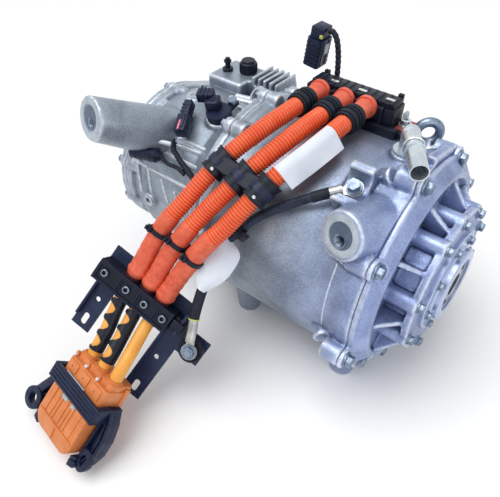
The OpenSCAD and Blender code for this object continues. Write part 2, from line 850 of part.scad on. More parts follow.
module axle_bolts() {
    color([0.62, 0.64, 0.68])
        bolt_ring(axle_plate_x, axle_bolt_r, axle_bolt_angles, axle_bolt);
}

// Gearbox
// Cone from the case out to the horn's face, cut square to the mount
module horn_body() {
    reach = norm(horn_at - horn_root_at);
    grow = 1.15;
    difference() {
        aimed(horn_root_at, horn_at)
            cylinder(h = reach * grow, r1 = horn_root_r, r2 = horn_r - (horn_root_r - horn_r) * (grow - 1));
        translate(horn_at)
            mount_facing()
                translate([-2 * horn_r, -2 * horn_r, 0])
                    cube(4 * horn_r);
    }
}

// Oval pads, sensor seats and the breather tower on the upper side
module gearbox_pads() {
    for (p = [[joint_x - 138, 108, gearbox_r + 3], [joint_x - 102, 94, case_r + 2]])
        translate([p[0], 0, 0])
            outward(p[1])
                cylinder(h = p[2], r = 9);
    translate([oil_sensor_x, 0, 0])
        outward(oil_sensor_angle)
            cylinder(h = oil_seat_r, r = 17);
    translate([oil_sensor_x + 6, 0, 0])
        outward(84)
            cylinder(h = oil_seat_r, r = 10);
    translate([lug_hole_x, 0, 0])
        outward(lug_hole_angle)
            cylinder(h = case_r + 6, r = 9);
    translate([joint_x - 122, 42, 40])
        cube([54, 56, breather_z - 40]);
    translate([joint_x - 68, 60, 40])
        cube([46, 44, 62]);
    for (x = [joint_x - 64:9:joint_x - 28])
        translate([x, 60, 100])
            cube([4, 44, 14]);
}

module gearbox_feet() {
    translate([gearbox_foot_at[0], gearbox_foot_at[1], -foot_drop])
        cylinder(h = foot_h, r1 = foot_r, r2 = foot_r + 6);
}

module gearbox_housing() {
    flange_x = joint_x - 10;
    color([0.66, 0.68, 0.73])
        difference() {
            union() {
                difference() {
                    union() {
                        gearbox_block(lid_x, joint_x, 0);
                        gearbox_block(lid_x, lid_x + 10, lid_rim - 2);
                        for (p = lid_bolt_places)
                            translate([0, p[0], p[1]])
                                rod_x(lid_x, lid_x + 22, lid_lug_r);
                        rod_x(flange_x, joint_x, housing_r + 4);
                        hole_ring(flange_x, joint_x, housing_r + 4, joint_bolt_angles, 9.5);
                        // Raised part of the case over the gears, and its cone out to the motor joint
                        turned([[0, lid_x + 10], [gearbox_r, lid_x + 10], [case_r, lid_x + 38],
                            [case_r, flange_x - 26], [housing_r - 6, flange_x], [0, flange_x]]);
                        horn_body();
                        gearbox_pads();
                        gearbox_feet();
                    }
                    gearbox_block(lid_x - cut, wall_x, -gearbox_wall);
                }
                // Web that carries the right differential bearing
                intersection() {
                    gearbox_block(web_x0, web_x1, -gearbox_wall + 1);
                    union() {
                        rod_x(web_x0, web_x1, cavity_r + 2);
                        on_layshaft()
                            rod_x(web_x0, web_x1, lay_cavity_r + 2);
                    }
                }
            }
            // Bearing seats
            rod_x(wall_x - cut, joint_x + cut, rotor_bearing_r + seat_gap);
            rod_x(web_x0 - cut, web_x1 + cut, diff_bearing_r + seat_gap);
            on_layshaft() {
                rod_x(web_x0 - cut, web_x1 + cut, gear_module * (lay_pinion_teeth + 2) / 2 + gear_gap);
                rod_x(wall_x - cut, wall_x + lay_bearing_w, lay_bearing_r + seat_gap);
            }
            for (p = lid_bolt_places)
                translate([0, p[0], p[1]])
                    rod_x(lid_x - cut, lid_x + 16, hub_bolt[0] + seat_gap);
            hole_ring(flange_x - cut, joint_x + cut, housing_r + 4, joint_bolt_angles,
                hub_bolt[0] + hole_gap);
            translate(horn_at)
                mount_facing() {
                    mount_hole(mount_hole_depth);
                    translate([0, 0, -spot_depth])
                        cylinder(h = 3, r = spot_r);
                }
            speed_sensor_body(seat_gap);
            translate([lug_hole_x, 0, 0])
                outward(lug_hole_angle)
                    translate([0, 0, case_r - 6])
                        cylinder(h = 20, r = 3.5);
        }
}

module gearbox_lid() {
    color([0.66, 0.68, 0.73])
        difference() {
            union() {
                gearbox_block(lid_face_x + 3, lid_x, lid_rim - 2);
                gearbox_block(lid_face_x, lid_x, -8);
                for (p = lid_bolt_places)
                    translate([0, p[0], p[1]])
                        rod_x(lid_x - 9, lid_x, lid_lug_r);
                rod_x(lid_hub_x, lid_x, diff_bearing_r + 8);
                rod_x(lid_x, lid_bearing_x0 + diff_bearing_w - 2, diff_bearing_r + 7);
                on_layshaft() {
                    rod_x(lid_face_x - 6, lid_x, lay_bearing_r + 4);
                    rod_x(lid_x, lid_x + 4, lay_bearing_r + 6);
                }
                // Stiffening ribs on the outside
                for (s = [lay_angle + 60, lay_angle + 120, lay_angle + 180, lay_angle + 240, lay_angle + 300])
                    rotate([s, 0, 0])
                        translate([lid_face_x - 4, 30, -3])
                            cube([8, gearbox_r - 40, 6]);
            }
            rod_x(lid_bearing_x0, lid_x + 60, diff_bearing_r + seat_gap);
            rod_x(lid_hub_x - cut, lid_x + 60, coupling_r + 3);
            rod_x(lid_hub_x - cut, lid_hub_x + 2 + seal_w, seal_r + seat_gap);
            on_layshaft()
                rod_x(lid_x - lay_bearing_w + 4, lid_x + 20, lay_bearing_r + seat_gap);
            for (p = lid_bolt_places)
                translate([0, p[0], p[1]])
                    rod_x(lid_x - 12, lid_x + cut, hub_bolt[0] + hole_gap);
        }
}

module gearbox_bolts() {
    color([0.62, 0.64, 0.68]) {
        for (p = lid_bolt_places)
            translate([lid_x - 9, p[0], p[1]])
                rotate([0, -90, 0])
                    flange_bolt(hub_bolt);
        for (s = joint_bolt_angles)
            around(housing_r + 4, s)
                translate([joint_x - 10, 0, 0])
                    rotate([0, -90, 0])
                        flange_bolt(hub_bolt);
    }
}

module layshaft() {
    pinion_r = gear_module * (lay_pinion_teeth / 2 - 1.25);
    color([0.6, 0.61, 0.64])
        on_layshaft() {
            rod_x(lid_x - lay_bearing_w + 5, ring_x0, layshaft_r - run_gap);
            spur_gear(ring_x0 - 1, ring_x1 + 1, lay_pinion_teeth, lay_angle + 180 + 180 / lay_pinion_teeth);
            rod_x(ring_x1, first_x0, pinion_r);
            rod_x(first_x0, first_x1, layshaft_r + 2);
            rod_x(first_x1, wall_x + lay_bearing_w - 1, layshaft_r - run_gap);
        }
}

module layshaft_gear() {
    color([0.58, 0.59, 0.63])
        on_layshaft()
            difference() {
                spur_gear(first_x0 + 1, first_x1 - 1, lay_gear_teeth, lay_angle + 180 + 180 / lay_gear_teeth);
                rod_x(first_x0, first_x1, layshaft_r + 2 + seat_gap);
                for (x = [first_x0, first_x1 - 6])
                    tube_x(x, x + 6, lay_tip_r - 14, layshaft_r + 12);
                hole_ring(first_x0, first_x1, lay_tip_r * 0.58, [for (i = [0:5]) 60 * i], 9);
            }
}

// Differential
ring_bolt_r = diff_case_r + 8;
module ring_gear() {
    color([0.58, 0.59, 0.63])
        difference() {
            spur_gear(ring_x0, ring_x1, ring_teeth, lay_angle);
            rod_x(ring_x0 - cut, ring_x1 + cut, diff_case_r + seat_gap);
            tube_x(ring_x0 - cut, ring_x0 + 6, ring_tip_r - 12, diff_case_r);
        }
}

module diff_case() {
    color([0.42, 0.43, 0.46])
        difference() {
            union() {
                rod_x(diff_x0, diff_x1, diff_case_r);
                rod_x(ring_x1, diff_x1, ring_bolt_r + 8);
                rod_x(lid_bearing_x0 + 0.5, diff_x0, diff_journal_r - run_gap);
                rod_x(diff_x1, web_x1 - 1, diff_journal_r - run_gap);
                rod_x(diff_x0 - 1.5, diff_x0, diff_journal_r + 5);
                rod_x(diff_x1, diff_x1 + 1.5, diff_journal_r + 5);
            }
            rod_x(diff_x - diff_half_room, diff_x + diff_half_room, diff_room_r);
            rod_x(lid_bearing_x0 - 5, web_x1 + 5, output_shaft_r + run_gap);
            // Windows for fitting the bevel gears
            translate([diff_x, 0, 0])
                rotate([90, 0, 0])
                    cylinder(h = 3 * diff_case_r, r = diff_half_room - 4, center = true);
            // Seat of the cross pin
            translate([diff_x, 0, -diff_case_r - cut])
                cylinder(h = 2 * diff_case_r + 2 * cut, r = cross_pin_r + seat_gap);
        }
}

module cross_pin() {
    color([0.66, 0.67, 0.7])
        translate([diff_x, 0, -diff_case_r + 1])
            cylinder(h = 2 * diff_case_r - 2, r = cross_pin_r);
}

module spider_gear() {
    back_z = side_pitch_r + bevel_back - 0.5;
    difference() {
        union() {
            bevel_teeth(spider_teeth, spider_cone, 180 / spider_teeth);
            translate([0, 0, side_pitch_r - 0.1])
                cylinder(h = back_z - side_pitch_r + 0.1, r1 = spider_pitch_r - 3.6,
                    r2 = spider_pitch_r - 4.2);
        }
        translate([0, 0, -cut])
            cylinder(h = back_z + 10, r = cross_pin_r + run_gap);
    }
}

module spider_gear_top() {
    color([0.62, 0.63, 0.66])
        translate([diff_x, 0, 0])
            spider_gear();
}

module spider_gear_bottom() {
    color([0.62, 0.63, 0.66])
        translate([diff_x, 0, 0])
            rotate([180, 0, 0])
                spider_gear();
}

module side_gear(way) {
    translate([diff_x, 0, 0])
        rotate([0, 90 * way, 0]) {
            bevel_teeth(side_teeth, side_cone, 0);
            translate([0, 0, spider_pitch_r - 0.1])
                cylinder(h = bevel_back, r1 = side_pitch_r - 5.6, r2 = side_pitch_r - 6.6);
        }
}

module left_output_shaft() {
    color([0.64, 0.65, 0.68])
        difference() {
            union() {
                side_gear(-1);
                rod_x(lid_bearing_x0 - 2, diff_x - spider_pitch_r - bevel_back + 1, output_shaft_r);
            }
            rod_x(diff_x - spider_pitch_r, diff_x, cross_pin_r + 2);
        }
}

module right_output_shaft() {
    color([0.64, 0.65, 0.68])
        difference() {
            union() {
                side_gear(1);
                rod_x(diff_x + spider_pitch_r + bevel_back - 1, right_step_x, output_shaft_r);
            }
            rod_x(diff_x, diff_x + spider_pitch_r, cross_pin_r + 2);
        }
}

module coupling(x0, x1, mouth, way) {
    difference() {
        rod_x(x0, x1, coupling_r);
        rod_x(way > 0 ? mouth - spline_len : mouth - cut, way > 0 ? mouth + cut : mouth + spline_len,
            spline_r);
    }
}

module right_coupling() {
    color([0.66, 0.67, 0.70])
        coupling(right_step_x, 0, 0, 1);
}

module left_coupling() {
    color([0.66, 0.67, 0.70])
        coupling(left_end_x, lid_bearing_x0 - 2, left_end_x, -1);
}

module gearbox_bearings() {
    color([0.75, 0.76, 0.78]) {
        on_layshaft() {
            sealed_bearing(wall_x + seat_gap, lay_bearing_w - 1, lay_bearing_r, layshaft_r);
            sealed_bearing(lid_x - lay_bearing_w + 5, lay_bearing_w - 1, lay_bearing_r, layshaft_r);
        }
        sealed_bearing(web_x0, diff_bearing_w, diff_bearing_r, diff_journal_r);
        sealed_bearing(lid_bearing_x0, diff_bearing_w - 2, diff_bearing_r, diff_journal_r);
    }
}

// Top of the motor
module terminal_block() {
    w = terminal_size[0];
    d = terminal_size[1];
    h = terminal_size[2];
    color([0.09, 0.10, 0.13])
        translate(terminal_at) {
            difference() {
                translate([-w / 2, -d / 2, 0])
                    cube([w, d, h]);
                for (x = [-w / 2 + 12 : 14 : w / 2 - 20])
                    translate([x, -d / 2 - 1, h - 6])
                        cube([8, 4, 8]);
            }
            translate([w / 2 - 1, -d / 2, 0])
                cube([17, d + 6, 9]);
            translate([-w / 2 - 4, -d / 2 + 4, 0])
                cube([4, d - 8, h * 0.8]);
            for (x = [-w / 2 + 4, w / 2 - 10])
                translate([x, d / 2 - 1, 6])
                    cube([6, 5, h - 4]);
        }
}

module terminal_bolt() {
    color([0.75, 0.76, 0.78])
        translate([terminal_at[0] + terminal_size[0] / 2 + 8, terminal_at[1] + 4, terminal_at[2] + 9]) {
            difference() {
                cylinder(h = 7, r = 5.5);
                translate([0, 0, 3])
                    cylinder(h = 6, r = 2.6, $fn = 6);
            }
            cylinder(h = 1.4, r = 7.5);
        }
}

module cable_boots() {
    front = terminal_at[1] - terminal_size[1] / 2;
    color([0.86, 0.34, 0.24])
        for (x = boot_at)
            translate([x, front, boot_z])
                rotate([90, 0, 0]) {
                    cylinder(h = front - boot_end_y, r1 = boot_r, r2 = conduit_r);
                    cylinder(h = 5, r = boot_r + 1.5);
                }
}

module cable_glands() {
    rim = 2;
    color([0.08, 0.09, 0.12])
        for (x = boot_at)
            translate([x, boot_end_y, boot_z])
                rotate([90, 0, 0])
                    difference() {
                        union() {
                            cylinder(h = gland_len, r = gland_r - 1);
                            translate([0, 0, 2])
                                cylinder(h = 5, r = gland_r);
                            translate([0, 0, gland_len - 7])
                                cylinder(h = 5, r = gland_r);
                        }
                        translate([0, 0, rim])
                            cylinder(h = gland_len, r = conduit_r + pass_gap);
                    }
}

module coolant_pipe() {
    bead_at = pipe_len * 0.45;
    difference() {
        union() {
            cylinder(h = pipe_len, r = pipe_r);
            translate([0, 0, bead_at])
                cylinder(h = 2.5, r = pipe_r + 1.2);
        }
        translate([0, 0, pipe_r + 3])
            cylinder(h = pipe_len, r = pipe_r - pipe_wall);
    }
}

module coolant_pipes() {
    elbow_bulge = 0.6;
    color([0.74, 0.76, 0.8]) {
        translate(pipe_in_at) {
            rotate([90, 0, pipe_yaw])
                coolant_pipe();
            sphere(r = pipe_r + elbow_bulge);
        }
        translate([pipe_in_at[0], pipe_in_at[1], pipe_seat_z + seat_gap]) {
            cylinder(h = pipe_in_at[2] - pipe_seat_z, r = pipe_r);
            cylinder(h = 3, r = 14);
        }
        translate(pipe_out_at + [0, seat_gap, 0])
            rotate([-90, 0, 0])
                coolant_pipe();
    }
}

module lifting_eye() {
    base_h = 4;
    color([0.72, 0.73, 0.76])
        translate(eye_at) {
            translate([0, 0, -6])
                cylinder(h = 6, r = eye_bar_r + 1);
            cylinder(h = base_h, r = 10);
            cylinder(h = base_h + 4, r = eye_bar_r + 1);
            translate([0, 0, base_h + 2 + eye_ring_r])
                rotate([90, 0, 35])
                    rotate_extrude()
                        translate([eye_ring_r, 0])
                            circle(r = eye_bar_r);
        }
}

module earth_bolt() {
    color([0.72, 0.73, 0.76])
        translate([saddle_x, 0, 0])
            outward(saddle_angle)
                translate([0, 0, earth_seat_r + 2.2])
                    flange_bolt([earth_bolt_r, 8, 10]);
}

// Ring lugs on both ends of the earth strap
module ring_lug(hole_r, reach) {
    difference() {
        union() {
            cylinder(h = 2, r = 9);
            translate([-reach, -4.5, 0])
                cube([reach, 9, 2]);
        }
        translate([0, 0, -cut])
            cylinder(h = 6, r = hole_r);
    }
    translate([-reach, 0, strap_r + 0.4])
        rotate([0, -90, 0])
            cylinder(h = 12, r = strap_r + 0.4);
}

module earth_lugs() {
    color([0.74, 0.72, 0.66]) {
        translate([saddle_x, 0, 0])
            outward(saddle_angle)
                translate([0, 0, earth_seat_r + seat_gap])
                    rotate([0, 0, saddle_lug_turn])
                        ring_lug(earth_bolt_r + hole_gap, 11);
        bracket_frame()
            translate([bush_at[0], bush_at[1], bush_top_z])
                rotate([0, 0, lug_turn])
                    ring_lug(earth_bolt_r + hole_gap, 13);
    }
}

// Sensors on the gearbox
module speed_sensor_body(room) {
    translate([joint_x - 120, -101, 64])
        rotate([0, 90, 18]) {
            cylinder(h = 34 + room, r = 8.5 + room);
            translate([0, 0, 34])
                cylinder(h = 6 + room, r1 = 8.5 + room, r2 = 4 + room);
            translate([-3, 0, 20])
                rotate([-70, 0, 0])
                    cylinder(h = 14 + room, r = 5 + room);
        }
}

module speed_sensor() {
    color([0.09, 0.11, 0.16])
        speed_sensor_body(0);
}

module oil_sensor() {
    color([0.09, 0.11, 0.16])
        translate([oil_sensor_x, 0, 0])
            outward(oil_sensor_angle)
                translate([0, 0, oil_seat_r]) {
                    cylinder(h = 10, r = 15);
                    translate([-2, 0, 0])
                        cube([10, 28, 6]);
                    translate([-16, -6, 10])
                        rotate([0, 0, 25])
                            cube([16, 16, 12]);
                    translate([-30, -2, 14])
                        rotate([0, 0, 25])
                            cube([20, 13, 12]);
                }
}

module sensor_plug() {
    color([0.09, 0.11, 0.16])
        translate([joint_x - 74, 0, 0])
            outward(116)
                translate([0, 0, case_r + 5])
                    rotate([0, 0, 23]) {
                        translate([-7, -24, 0])
                            cube([14, 24, 15]);
                        translate([-5, -1, 1.5])
                            cube([10, 22, 12]);
                        translate([-3, -4, -5])
                            cube([6, 12, 6]);
                    }
}

module sensor_harness() {
    color([0.08, 0.09, 0.12])
        swept_tube(harness_route, harness_r, 8);
}

module breather() {
    color([0.09, 0.10, 0.13]) {
        translate([joint_x - 108, 66, breather_z]) {
            cylinder(h = 4, r = 7);
            cylinder(h = 17, r = 3.5);
            translate([0, 0, 11])
                cylinder(h = 3, r = 5);
        }
        translate([joint_x - 83, 78, breather_z]) {
            cylinder(h = 14, r = 11);
            translate([0, 0, 14])
                cylinder(h = 3, r = 9);
        }
    }
}

// Cable set
module conduit_1() {
    color([0.95, 0.42, 0.2])
        swept_tube(conduit_route_1, conduit_r, 10);
}

module conduit_2() {
    color([0.95, 0.42, 0.2])
        swept_tube(conduit_route_2, conduit_r, 10);
}

module conduit_3() {
    color([0.95, 0.42, 0.2])
        swept_tube(conduit_route_3, conduit_r, 10);
}

module lead_1() {
    color([0.95, 0.6, 0.22])
        swept_tube(lead_route_1, lead_r, 10);
}

module lead_2() {
    color([0.95, 0.6, 0.22])
        swept_tube(lead_route_2, lead_r, 10);
}

module lead_3() {
    color([0.95, 0.6, 0.22])
        swept_tube(lead_route_3, lead_r, 10);
}

module earth_strap() {
    color([0.1, 0.1, 0.12])
        swept_tube(strap_route, strap_r, 8);
}

module plug_frame() {
    translate(plug_at)
        rotate(plug_turn)
            children();
}

module rounded_block(x, y, z) {
    hull() {
        for (px = [-x / 2 + plug_corner, x / 2 - plug_corner], pz = [plug_corner, z - plug_corner])
            translate([px, 0, pz])
                rotate([-90, 0, 0])
                    cylinder(h = y, r = plug_corner, $fn = 32);
    }
}

module plug_front() {
    nose_y = plug_joint_y - plug_front_len;
    pin_reach = 50;
    color([0.86, 0.45, 0.2])
        plug_frame()
            difference() {
                union() {
                    translate([0, nose_y, 0])
                        rounded_block(plug_w - 2, plug_front_len, plug_h);
                    translate([-pin_reach, lever_pivot_y, lever_pivot_z])
                        rotate([0, 90, 0])
                            cylinder(h = 2 * pin_reach, r = lever_pin_r);
                }
                // Socket in the nose
                translate([-plug_w / 2 + 7, nose_y - cut, 6])
                    cube([plug_w - 14, 22, plug_h - 12]);
                // Slope from the ridge down to the nose
                translate([-plug_w / 2, nose_y + 18, plug_h])
                    rotate([12, 0, 0])
                        translate([0, -40, 0])
                            cube([plug_w, 40, 20]);
            }
}

module plug_rear() {
    tile = [17, 12, 2.5];
    rear_y = plug_joint_y + plug_rear_len;
    color([0.86, 0.45, 0.2])
        plug_frame()
            difference() {
                union() {
                    translate([0, plug_joint_y, 0])
                        rounded_block(plug_w, plug_rear_len, plug_h - 1);
                    for (k = [-1, 0, 1])
                        translate([k * lead_pitch - tile[0] / 2, rear_y - 16, plug_h - 2])
                            cube(tile);
                }
                for (k = [-1, 0, 1])
                    translate([k * lead_pitch, rear_y - lead_depth, lead_z])
                        rotate([-90, 0, 0])
                            cylinder(h = 20, r = lead_r + 0.2);
            }
}

// Arm of the lever seen from above, bowed around the side of the connector
module lever_arm() {
    x0 = plug_w / 2 + 1;
    out = lever_t;
    linear_extrude(height = lever_h)
        polygon([[x0, lever_bar_y[1]], [x0 + 6, lever_bar_y[1]], [x0 + 6 + out, 6], [x0 + 11 + out, -12],
            [x0 + 11 + out, -30], [x0 + 6 + out, -46], [x0 + out, -53], [x0 + 2, -50], [x0 + 6, -43],
            [x0 + 11, -28], [x0 + 11, -12], [x0 + 6, 2], [x0, 4]]);
}

module plug_lever() {
    bar_z = plug_h + pass_gap;
    bar_w = lever_bar_y[1] - lever_bar_y[0];
    half = plug_w / 2 + 1;
    post_z = lever_pivot_z - lever_h / 2;
    color([0.08, 0.09, 0.13])
        plug_frame()
            difference() {
                union() {
                    translate([-half - 7, lever_bar_y[0], bar_z])
                        cube([2 * half + 14, bar_w, lever_bar_h]);
                    for (side = [0, 1])
                        mirror([side, 0, 0]) {
                            translate([0, 0, post_z])
                                lever_arm();
                            translate([half, lever_bar_y[0], post_z])
                                cube([7, bar_w, bar_z + lever_bar_h - post_z]);
                        }
                }
                translate([-plug_w, lever_pivot_y, lever_pivot_z])
                    rotate([0, 90, 0])
                        cylinder(h = 2 * plug_w, r = lever_pin_r + run_gap);
            }
}

// Pieces on the cables
conduits = [conduit_route_1, conduit_route_2, conduit_route_3];
clamp_step = 4;
tie_step = 7;

// Puts children on a route, a share of the way from one point to the next, with Z along it
module on_route(route, i, share) {
    aimed(route[i] + share * (route[i + 1] - route[i]), route[i + 1])
        children();
}

module cable_clamp() {
    clamp_len = 27;
    clamp_wall = 3.4;
    color([0.08, 0.09, 0.12])
        difference() {
            union() {
                for (k = [0, 1])
                    hull() {
                        for (route = [conduits[k], conduits[k + 1]])
                            on_route(route, clamp_step, 0.5)
                                cylinder(h = clamp_len - 12, r = conduit_r + 1, center = true, $fn = 32);
                    }
                for (route = conduits)
                    on_route(route, clamp_step, 0.5) {
                        cylinder(h = clamp_len, r = conduit_r + clamp_wall - 1, center = true);
                        for (z = [-clamp_len / 2 + 3, clamp_len / 2 - 3])
                            translate([0, 0, z])
                                cylinder(h = 5, r = conduit_r + clamp_wall, center = true);
                    }
            }
            for (route = conduits)
                on_route(route, clamp_step, 0.5)
                    cylinder(h = 3 * clamp_len, r = conduit_r, center = true);
        }
}

module cable_ties() {
    color([0.06, 0.06, 0.08])
        for (route = conduits)
            on_route(route, tie_step, 0.5)
                difference() {
                    union() {
                        cylinder(h = 5, r = conduit_r + 2.2, center = true);
                        translate([conduit_r - 2, -4, -3.5])
                            cube([7, 8, 7]);
                    }
                    cylinder(h = 20, r = conduit_r, center = true);
                }
}

module bracket_frame() {
    translate(bracket_at)
        rotate(bracket_turn)
            children();
}

module clamp_bar() {
    boss_places = [-46, -16, 9, 34];
    w = bar_size[0];
    d = bar_size[1];
    h = bar_size[2];
    color([0.08, 0.09, 0.12])
        difference() {
            bracket_frame()
                union() {
                    translate([bar_x0, -d / 2, -h / 2])
                        cube([w, d, h - 1.5]);
                    translate([bar_x0, d / 2 - 4, -h / 2])
                        cube([w, 4, h]);
                    translate([bar_x0, -d / 2, -h / 2])
                        cube([w, 3, h]);
                    for (x = boss_places)
                        translate([x, 0, h / 2 - 4])
                            cylinder(h = 4, r = 5.5);
                }
            bracket_frame() {
                for (x = bar_holes_x)
                    translate([x, -d, bar_holes_z])
                        rotate([-90, 0, 0])
                            cylinder(h = 2 * d, r = lead_r + 1.4);
                for (x = boss_places)
                    translate([x, 0, h / 2 - 2])
                        cylinder(h = 4, r = 3);
            }
            // Seats of the conduits' ends, each along its own conduit
            for (route = conduits)
                aimed(route[len(route) - 1], route[len(route) - 2])
                    cylinder(h = d, r = conduit_r + 0.2);
        }
}

module ear(x, w, len) {
    translate([x, -bar_size[1] / 2 - len, plate_z])
        difference() {
            cube([w, len + 10, bracket_t]);
            translate([w / 2 - 3.5, 8, -cut])
                cube([7, 8, bracket_t + 2 * cut]);
            translate([w / 2, 8, -cut])
                cylinder(h = bracket_t + 2 * cut, r = 3.5);
            translate([w / 2, 16, -cut])
                cylinder(h = bracket_t + 2 * cut, r = 3.5);
            translate([w / 2, len * 0.6, -cut])
                cylinder(h = bracket_t + 2 * cut, r = 3);
        }
    translate([x, -bar_size[1] / 2 - len + 14, plate_z])
        cube([bracket_t, len - 17, 9]);
}

module cable_bracket() {
    color([0.09, 0.11, 0.16])
        bracket_frame()
            difference() {
                union() {
                    translate([bar_x0 - 2, -14, plate_z])
                        cube([bar_size[0] + 20, 40, bracket_t]);
                    ear(-54, 24, 67);
                    ear(38, 24, 91);
                    translate([40, bush_at[1] - bush_r - 1, plate_z])
                        cube([bush_at[0] + bush_r - 40, 2 * bush_r + 2, bracket_t]);
                    translate([52, -8, plate_z])
                        cube([bracket_t, 28, 22]);
                }
                translate([bush_at[0], bush_at[1], plate_z - cut])
                    cylinder(h = bracket_t + 2 * cut, r = earth_bolt_r + hole_gap);
            }
}

module earth_bush() {
    color([0.08, 0.08, 0.09])
        bracket_frame()
            translate([bush_at[0], bush_at[1], plate_z + bracket_t]) {
                cylinder(h = bush_top_z - plate_z - bracket_t, r = bush_r);
                cylinder(h = bush_top_z - plate_z - bracket_t + 7, r = earth_bolt_r);
            }
}

module pigtail_cable() {
    color([0.08, 0.09, 0.12])
        swept_tube(pigtail_route, pigtail_r, 8);
}

module pigtail_plug() {
    color([0.07, 0.08, 0.11])
        aimed(pigtail_plug_top, pigtail_plug_end) {
            translate([-10, -8, 0])
                cube([20, 16, 14]);
            difference() {
                translate([-12, -10, 13])
                    cube([24, 20, 33]);
                translate([-9, -7, 24])
                    cube([18, 14, 33]);
            }
        }
}

motor_housing();
end_cover();
axle_flange();
gearbox_housing();
gearbox_lid();
main_bolts();
hub_bolts();
axle_bolts();
gearbox_bolts();
stator_core();
stator_windings();
cooling_jacket();
rotor_core();
rotor_shaft();
motor_bearings();
resolver_stator();
resolver_rotor();
layshaft();
layshaft_gear();
gearbox_bearings();
ring_gear();
diff_case();
cross_pin();
spider_gear_top();
spider_gear_bottom();
left_output_shaft();
left_coupling();
right_output_shaft();
right_coupling();
output_seals();
terminal_block();
cable_boots();
cable_glands();
terminal_bolt();
coolant_pipes();
lifting_eye();
earth_bolt();
earth_lugs();
speed_sensor();
oil_sensor();
sensor_plug();
sensor_harness();
breather();
pigtail_cable();
pigtail_plug();
conduit_1();
conduit_2();
conduit_3();
lead_1();
lead_2();
lead_3();
cable_clamp();
cable_ties();
cable_bracket();
clamp_bar();
earth_bush();
earth_strap();
plug_front();
plug_rear();
plug_lever();
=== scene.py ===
"""Looks of the electric drive unit.

The castings get a rounded skin, the cables their corrugated covers, and the plugs, sensors and bolts
the edges and ridges that the bare solids lack. Places are millimetres in the part's own frame.
"""
import math

import bmesh
import bpy
from mathutils import Euler, Matrix, Vector


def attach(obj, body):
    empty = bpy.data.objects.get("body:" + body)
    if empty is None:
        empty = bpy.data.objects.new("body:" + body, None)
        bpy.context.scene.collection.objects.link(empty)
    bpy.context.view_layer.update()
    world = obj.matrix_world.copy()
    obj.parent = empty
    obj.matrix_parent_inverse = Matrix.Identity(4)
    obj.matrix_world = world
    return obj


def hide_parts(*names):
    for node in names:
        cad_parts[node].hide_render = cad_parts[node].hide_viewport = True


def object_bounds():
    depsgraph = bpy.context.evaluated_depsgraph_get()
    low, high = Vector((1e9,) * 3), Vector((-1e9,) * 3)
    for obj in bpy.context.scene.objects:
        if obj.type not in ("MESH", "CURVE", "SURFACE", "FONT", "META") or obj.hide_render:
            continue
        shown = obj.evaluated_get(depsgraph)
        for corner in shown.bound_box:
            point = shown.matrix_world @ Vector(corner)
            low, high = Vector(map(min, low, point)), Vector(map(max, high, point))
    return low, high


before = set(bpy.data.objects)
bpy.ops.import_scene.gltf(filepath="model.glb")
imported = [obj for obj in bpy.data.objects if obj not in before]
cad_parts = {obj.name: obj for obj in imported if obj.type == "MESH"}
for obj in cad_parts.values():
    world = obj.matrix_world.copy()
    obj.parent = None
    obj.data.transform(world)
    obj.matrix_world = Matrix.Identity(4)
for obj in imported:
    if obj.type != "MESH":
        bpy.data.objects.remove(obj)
cad_low, cad_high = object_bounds()

MM = 0.001
scene = bpy.context.scene

# Camera at the photograph's viewing angle
CAMERA_AT = (70.92, -436.11, 419.10)
CAMERA_AZIMUTH = 38.8
CAMERA_ELEVATION = 43.6
CAMERA_LENS = 38.16

# Direction from the unit to the camera
TOWARDS_CAMERA = Vector((0.454, -0.564, 0.690))

# Light of the studio, in metres. A lamp has a name, a place, a breadth, a power and a colour
AMBIENT = 0.55
SUN_LEVEL = 1.5
SUN_SPREAD = 50
SUN_WAY = Vector((0.25, 0.3, -1.0))
LAMP_AIM = Vector((-0.2, -0.02, 0.02))
LAMPS = (("key", (-0.35, -0.25, 1.15), 0.8, 2.0, (1.0, 1.0, 1.0)),
         ("side", (0.75, -0.55, 0.45), 0.7, 2.0, (0.9, 0.93, 1.0)))
FLOOR_SIZE = 6.0
FLOOR_GAP = 0.0005

# Stations and sizes of the unit. A bolt has a shank radius, a head radius and a length
SPLIT_X = -54
JOINT_X = -262
JOINT_FLANGE_T = 10
LID_X = -410
LID_T = 9
HUB_FACE_X = -10
AXLE_PLATE_X = -6
COVER_FLANGE_T = 5
HOUSING_R = 122
CASE_R = 102
MAIN_BOLT_R = 128
# Angle of each main bolt and its step out of the bolt circle
MAIN_BOLTS = [(20, 0), (64, -3), (104, 2), (145, 0), (194, 8), (219, -7), (256, 0), (292, 0), (328, 0)]
MAIN_BOLT = (4, 8.2, 26)
HUB_BOLT_R = 79
HUB_BOLTS = [20, 55, 90, 117, 162, 200, 245, 290, 335]
HUB_BOLT = (3, 6.4, 20)
AXLE_BOLT_R = 50
AXLE_BOLTS = [10, 55, 100, 145, 190, 235, 280, 325]
AXLE_BOLT = (2.5, 5.4, 16)
JOINT_BOLT_R = HOUSING_R + 4
JOINT_BOLTS = [57, 85, 113, 172, 203, 248, 290]
MOUNT_TURN = (73, 0, -12)
BOSS_AT = (-86, -112, 100)
HORN_AT = (-402, -135, 115)
BRACKET_AT = (-259, -214, -16)
BRACKET_TURN = (49, 22, 7)
PLUG_AT = (-255, -300, -108)
PLUG_TURN = (42, 0, -8)
BOOT_AT = (-210, -179, -152)
BOOT_Z = 142
EARTH_BUSH_AT = (77, -13, -12)
INLET_AT = (-87, 7, 147.5)
INLET_YAW = 33
TERMINAL_LOW = (-227, 39, 116)
TERMINAL_HIGH = (-121, 65, 150)
PIGTAIL_PLUG_AT = (-243, 84, 191)
PIGTAIL_PLUG_MOUTH = (-249, 84, 145)
SPEED_SENSOR_AT = (-382, -101, 64)
SPEED_SENSOR_TURN = (0, 90, 18)
SENSOR_PAD_R = CASE_R + 5
OIL_SENSOR_X = -304
